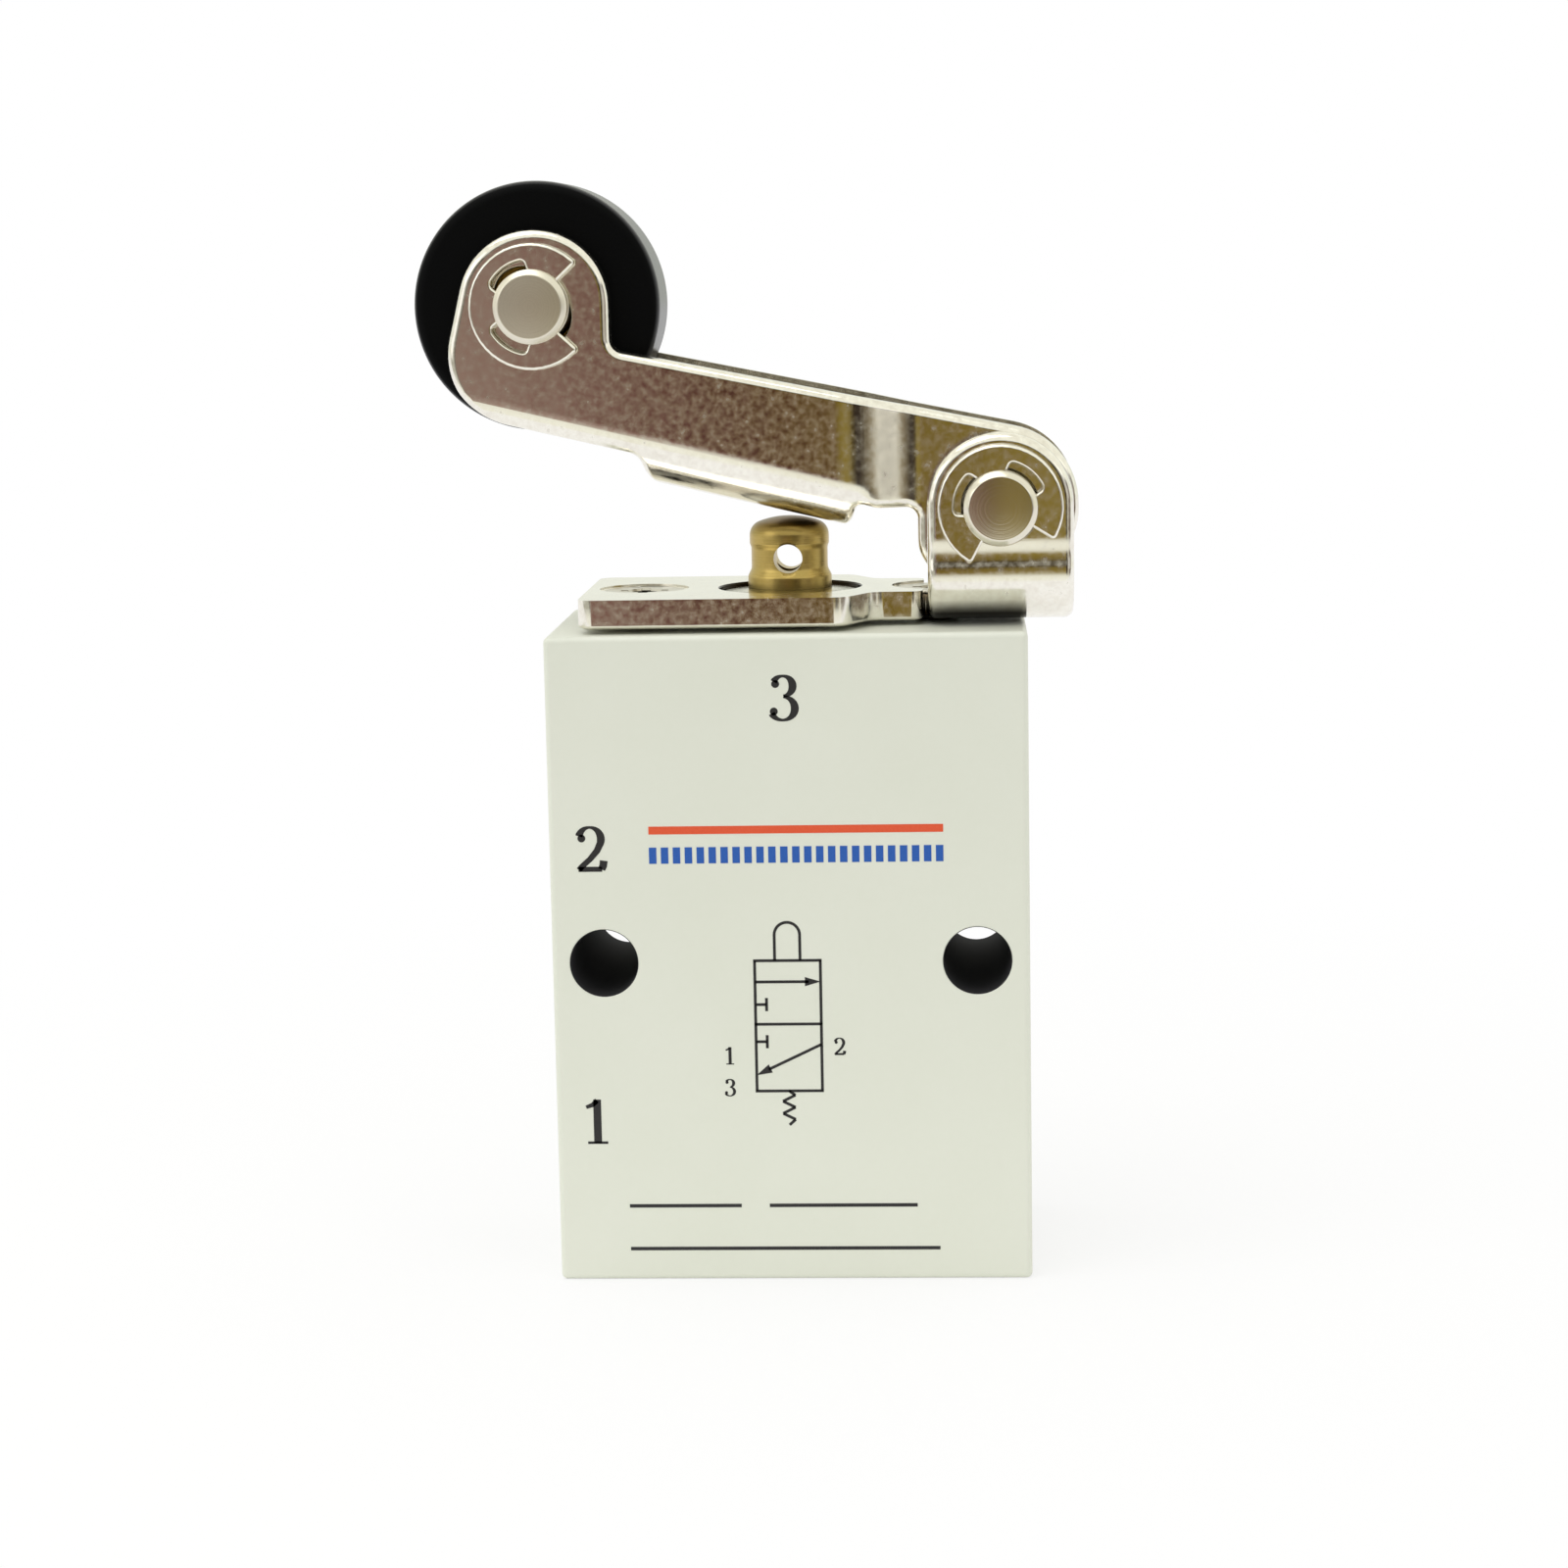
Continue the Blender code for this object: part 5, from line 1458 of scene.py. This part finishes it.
def make_lever():
    sheet = LEVER_SHEET
    low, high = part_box("lever")
    wide = (high.y - low.y) / 2
    narrow = EAR_HALF - BRACKET_SHEET - ARM_SIDE_PLAY
    web_half = wide - LEVER_BEND
    arm_start = web_half + LEVER_BEND * pi / 2
    web_right = PIVOT.x - WEB_RIGHT
    web_left = PIVOT.x - WEB_LEFT
    joggle_left = PIVOT.x - JOGGLE_LEFT
    joggle_right = PIVOT.x - JOGGLE_RIGHT
    bend_end = web_right + WEB_TAPER

    def web_height(x):
        return PIVOT.z - WEB_DROP - tan(WEB_SLOPE) * (x - PIVOT.x)

    def arm_height(x):
        return PIVOT.z + PIVOT_END_RADIUS / cos(ARM_SLOPE) - tan(ARM_SLOPE) * (x - PIVOT.x)

    def half_width(x):
        along = min(1, max(0, (x - joggle_left) / (joggle_right - joggle_left)))
        return wide + (narrow - wide) * (1 - cos(pi * along**JOGGLE_LATENESS)) / 2

    def spread(x, z):
        """How far out on the flat blank a point of the lever's side lies."""
        rise = z - web_height(x) - LEVER_BEND
        if rise >= 0 or x > bend_end:
            return arm_start + rise
        return arm_start - LEVER_BEND * asin(min(1, -rise / LEVER_BEND))

    def bend(x, across, depth):
        side = copysign(1, across)
        reach = abs(across)
        base = web_height(x)
        width = half_width(x)
        arm = Vector((width - depth, base + LEVER_BEND + reach - arm_start))
        if reach >= arm_start:
            formed = arm
        elif reach > web_half:
            turn = (arm_start - reach) / LEVER_BEND
            inner = LEVER_BEND - depth
            curled = Vector((width - LEVER_BEND + inner * cos(turn), base + LEVER_BEND - inner * sin(turn)))
            flatter = min(1, max(0, (x - bend_end) / UNBEND_LENGTH))
            formed = curled.lerp(arm, flatter * flatter * (3 - 2 * flatter))
        else:
            formed = Vector((reach * (width - LEVER_BEND) / web_half, base + depth))
        return x, AXIS_Y + side * formed.x, formed.y

    axis = Vector((ROLLER_AXIS.x, ROLLER_AXIS.z))
    along = Vector((cos(WEB_SLOPE), -sin(WEB_SLOPE)))
    up = Vector((sin(WEB_SLOPE), cos(WEB_SLOPE)))
    foot = axis - along * ROLLER_END_RADIUS
    heel = foot - up * (axis.y - web_height(axis.x) - HEEL_STEP) * cos(WEB_SLOPE)
    crown = foot + up * ROLLER_END_RADIUS * (1 - sin(WEB_SLOPE)) / cos(WEB_SLOPE)
    right = ROLLER_AXIS.x + ROLLER_END_RADIUS
    top = ROLLER_AXIS.z + ROLLER_END_RADIUS
    rear = PIVOT.x + PIVOT_END_RADIUS
    underside = PIVOT.z - ARM_UNDERSIDE
    lobe = PIVOT.x - LOBE_LEFT
    lobe_bottom = PIVOT.z - LOBE_DROP
    heel_end = web_left - WEB_TAPER
    side_path = rounded(
        [
            (bend_end, underside, 0),
            (lobe, underside, WEB_CORNER),
            (lobe, lobe_bottom, LOBE_RADIUS),
            (rear, lobe_bottom, LOBE_REAR_RADIUS),
            (rear, arm_height(rear), PIVOT_END_RADIUS),
            (right, arm_height(right), CROOK_RADIUS),
            (right, top, ROLLER_END_RADIUS),
            (*crown, ROLLER_END_RADIUS),
            (*heel, HEEL_RADIUS),
            (heel_end, web_height(heel_end) + HEEL_STEP, 0),
        ]
    )
    arm_path = [(x, spread(x, z), 0) for x, z in side_path]
    arm_path[0] = (*arm_path[0][:2], WEB_CORNER)
    arm_path[-1] = (*arm_path[-1][:2], WEB_CORNER)
    web_start = (web_right + WEB_RIGHT_STEP, web_half, WEB_CORNER)
    web_finish = (web_left - WEB_LEFT_STEP, web_half, WEB_CORNER)
    outline = both_sides([web_start, *arm_path, web_finish])
    holes = []
    for place in (PIVOT, ROLLER_AXIS):
        for side in (-1, 1):
            holes.append(hole_cutter(place.x, side * spread(place.x, place.z), PIN_HOLE_RADIUS, sheet))
    bends = []
    for step in range(BEND_STEPS + 1):
        place = web_half + (arm_start - web_half) * step / BEND_STEPS
        bends += [place, -place]
    stations = [bend_end + UNBEND_LENGTH * step / UNBEND_STEPS for step in range(UNBEND_STEPS + 1)]
    for step in range(JOGGLE_STEPS + 1):
        stations.append(joggle_left + (joggle_right - joggle_left) * step / JOGGLE_STEPS)
    cuts = [((0, 1, 0), bends), ((1, 0, 0), stations)]
    return pressed("pressed_lever", outline, sheet, LEVER_RIMS, holes, cuts, bend)


dress(make_lever(), nickel, "nickel_plate", "lever", "lever")


# Pins and their retaining clips
# Each pin is turned from steel bar with a flat head at the back and a chamfered end at the front, where
# a sprung clip with three prongs sits in a groove and keeps it from sliding out.

PIN_RADIUS = 2.45 * MM
PIN_CHAMFER = 0.35 * MM
PIN_GROOVE_RADIUS = 1.9 * MM
PIN_HEAD_THICKNESS = 1.1 * MM
PIN_STUB = 0.7 * MM
PIN_GROOVE_WIDTH = 0.9 * MM
CLIP_RADIUS = 4.15 * MM
CLIP_POCKET_RADIUS = 3.05 * MM
CLIP_PRONG_RADIUS = 2.0 * MM
CLIP_PRONG = 22
CLIP_POCKET_SLOPE = 6
CLIP_MOUTH = 43
CLIP_POCKET_START = 98
CLIP_RIMS = (0.2 * MM, 0.1 * MM)
CLIP_CORNER = 0.3 * MM
CLIP_CORNER_ROOM = 1.1


def make_pin(name, node):
    low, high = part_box(node)
    place = middle(node)
    head = radius(node)
    tip = low.y
    groove_front = tip + PIN_STUB
    groove_back = groove_front + PIN_GROOVE_WIDTH
    head_front = high.y - PIN_HEAD_THICKNESS
    profile = [
        (0, tip, 0),
        (PIN_RADIUS - PIN_CHAMFER, tip, BREAK),
        (PIN_RADIUS, tip + PIN_CHAMFER, BREAK),
        (PIN_RADIUS, groove_front, BREAK / 2),
        (PIN_GROOVE_RADIUS, groove_front, BREAK),
        (PIN_GROOVE_RADIUS, groove_back, BREAK),
        (PIN_RADIUS, groove_back, BREAK / 2),
        (PIN_RADIUS, head_front, BREAK),
        (head, head_front, BREAK),
        (head, high.y, 2 * BREAK),
        (0, high.y, 0),
    ]
    return smooth(turned(name, profile, (place.x, 0, place.z), "Y"))


def make_clip(name, node, turn):
    """A flat ring, open on one side, with a prong on each side of its mouth and one opposite."""
    low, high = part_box(node)
    place = middle(node.replace("e_clip", "pin"))
    tail = 360 - CLIP_MOUTH
    centre = Vector((0, 0))

    def stretch(size, start, end):
        """An arc of the outline that leaves its two end corners room for their fillets."""
        ease = copysign(degrees(CLIP_CORNER_ROOM * CLIP_CORNER / size), end - start)
        inner = arc(centre, size, start + turn + ease, end + turn - ease, steps=32)
        first, last = arc(centre, size, start + turn, end + turn, steps=1)
        return [(*first, CLIP_CORNER), *[(*point, 0) for point in inner], (*last, CLIP_CORNER)]

    pocket_end = 180 - CLIP_PRONG - CLIP_POCKET_SLOPE
    corners = stretch(CLIP_PRONG_RADIUS, CLIP_MOUTH, CLIP_POCKET_START - CLIP_POCKET_SLOPE)
    corners += stretch(CLIP_POCKET_RADIUS, CLIP_POCKET_START, pocket_end)
    corners += stretch(CLIP_PRONG_RADIUS, 180 - CLIP_PRONG, 180 + CLIP_PRONG)
    corners += stretch(CLIP_POCKET_RADIUS, 360 - pocket_end, 360 - CLIP_POCKET_START)
    corners += stretch(CLIP_PRONG_RADIUS, 360 - CLIP_POCKET_START + CLIP_POCKET_SLOPE, tail)
    corners += stretch(CLIP_RADIUS, tail, CLIP_MOUTH)

    def bend(across, up, depth):
        return place.x + across, low.y + depth, place.z - up

    return pressed(name, rounded(corners), high.y - low.y, CLIP_RIMS, [], [], bend, 3)


for name, body, turn, roughness in (("pivot", "body", 75, 0.14), ("roller", "lever", 0, 0.28)):
    axis = middle(name + "_pin")
    pin_steel = make_turned_metal(
        name + "_pin_steel", axis, "Y", colour(218, 211, 196), colour(240, 235, 220), roughness
    )
    pin = make_pin("turned_" + name + "_pin", name + "_pin")
    dress(pin, pin_steel, "turned_steel", body, name + "_pin")
    clip = make_clip(name + "_retaining_clip", name + "_e_clip", turn)
    dress(clip, nickel, "nickel_plate", body, name + "_e_clip")


# Roller
# Moulded in black nylon on a brass sleeve, which turns on the pin. Its rims are rounded, and its tread
# has been polished a little by the cams that it runs on.

ROLLER_RIM = 0.8 * MM
ROLLER_BORE_RADIUS = 3.75 * MM
SLEEVE_BORE_RADIUS = 2.55 * MM
SLEEVE_RADIUS = 3.65 * MM
TREAD_DEPTH = 0.25 * MM
TREAD_FADE = 0.2 * MM


def make_tube(name, node, bore, outer, rim, steps=96):
    """A tube on the roller's axis, as long as its node."""
    low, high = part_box(node)
    profile = [(bore, low.y, BREAK), (outer, low.y, rim), (outer, high.y, rim), (bore, high.y, BREAK)]
    return smooth(turned(name, profile, (ROLLER_AXIS.x, 0, ROLLER_AXIS.z), "Y", steps))


def make_nylon():
    """Black moulded nylon: a fine spark-eroded grain, shinier and greyer on the tread."""
    material, tree, surface = new_finish("black_nylon")
    where = place_on_piece(tree)
    shifted = tree.node("ShaderNodeMapping", {}, {"Vector": where, "Location": -ROLLER_AXIS})
    x, _, z = tree.parts(shifted)
    reach = (x * x + z * z) ** 0.5
    tread = ((reach - (radius("roller") - TREAD_DEPTH)) * (1 / TREAD_FADE)).clamped()
    grain = noise(tree, where, 0.1 * MM, 3.0, 0.6)
    scuff = noise(tree, where, 0.9 * MM, 5.0, 0.7)
    plain = tree.mix(grain, colour(4, 5, 7), colour(9, 10, 12))
    worn = tree.mix(scuff, colour(34, 34, 38), colour(66, 66, 70))
    tree.feed(surface.inputs["Base Color"], tree.mix(tread * 0.8, plain, worn))
    surface.inputs["Specular IOR Level"].default_value = 0.08
    surface.inputs["Coat Roughness"].default_value = 0.22
    tree.feed(surface.inputs["Coat Weight"], tread * 0.6)
    tree.feed(surface.inputs["Roughness"], 0.6 + grain * 0.1 - tread * 0.2)
    tree.feed(surface.inputs["Normal"], bump(tree, grain, 0.012 * MM, 0.5))
    return material


sleeve_brass = make_turned_metal(
    "sleeve_brass", ROLLER_AXIS, "Y", colour(150, 118, 50), colour(178, 146, 74), 0.28
)
sleeve = make_tube("roller_sleeve", "roller_bush", SLEEVE_BORE_RADIUS, SLEEVE_RADIUS, BREAK)
dress(sleeve, sleeve_brass, "brass", "roller", "roller_bush")
roller = make_tube("moulded_roller", "roller", ROLLER_BORE_RADIUS, radius("roller"), ROLLER_RIM, 160)
dress(roller, make_nylon(), "black_nylon", "roller", "roller")
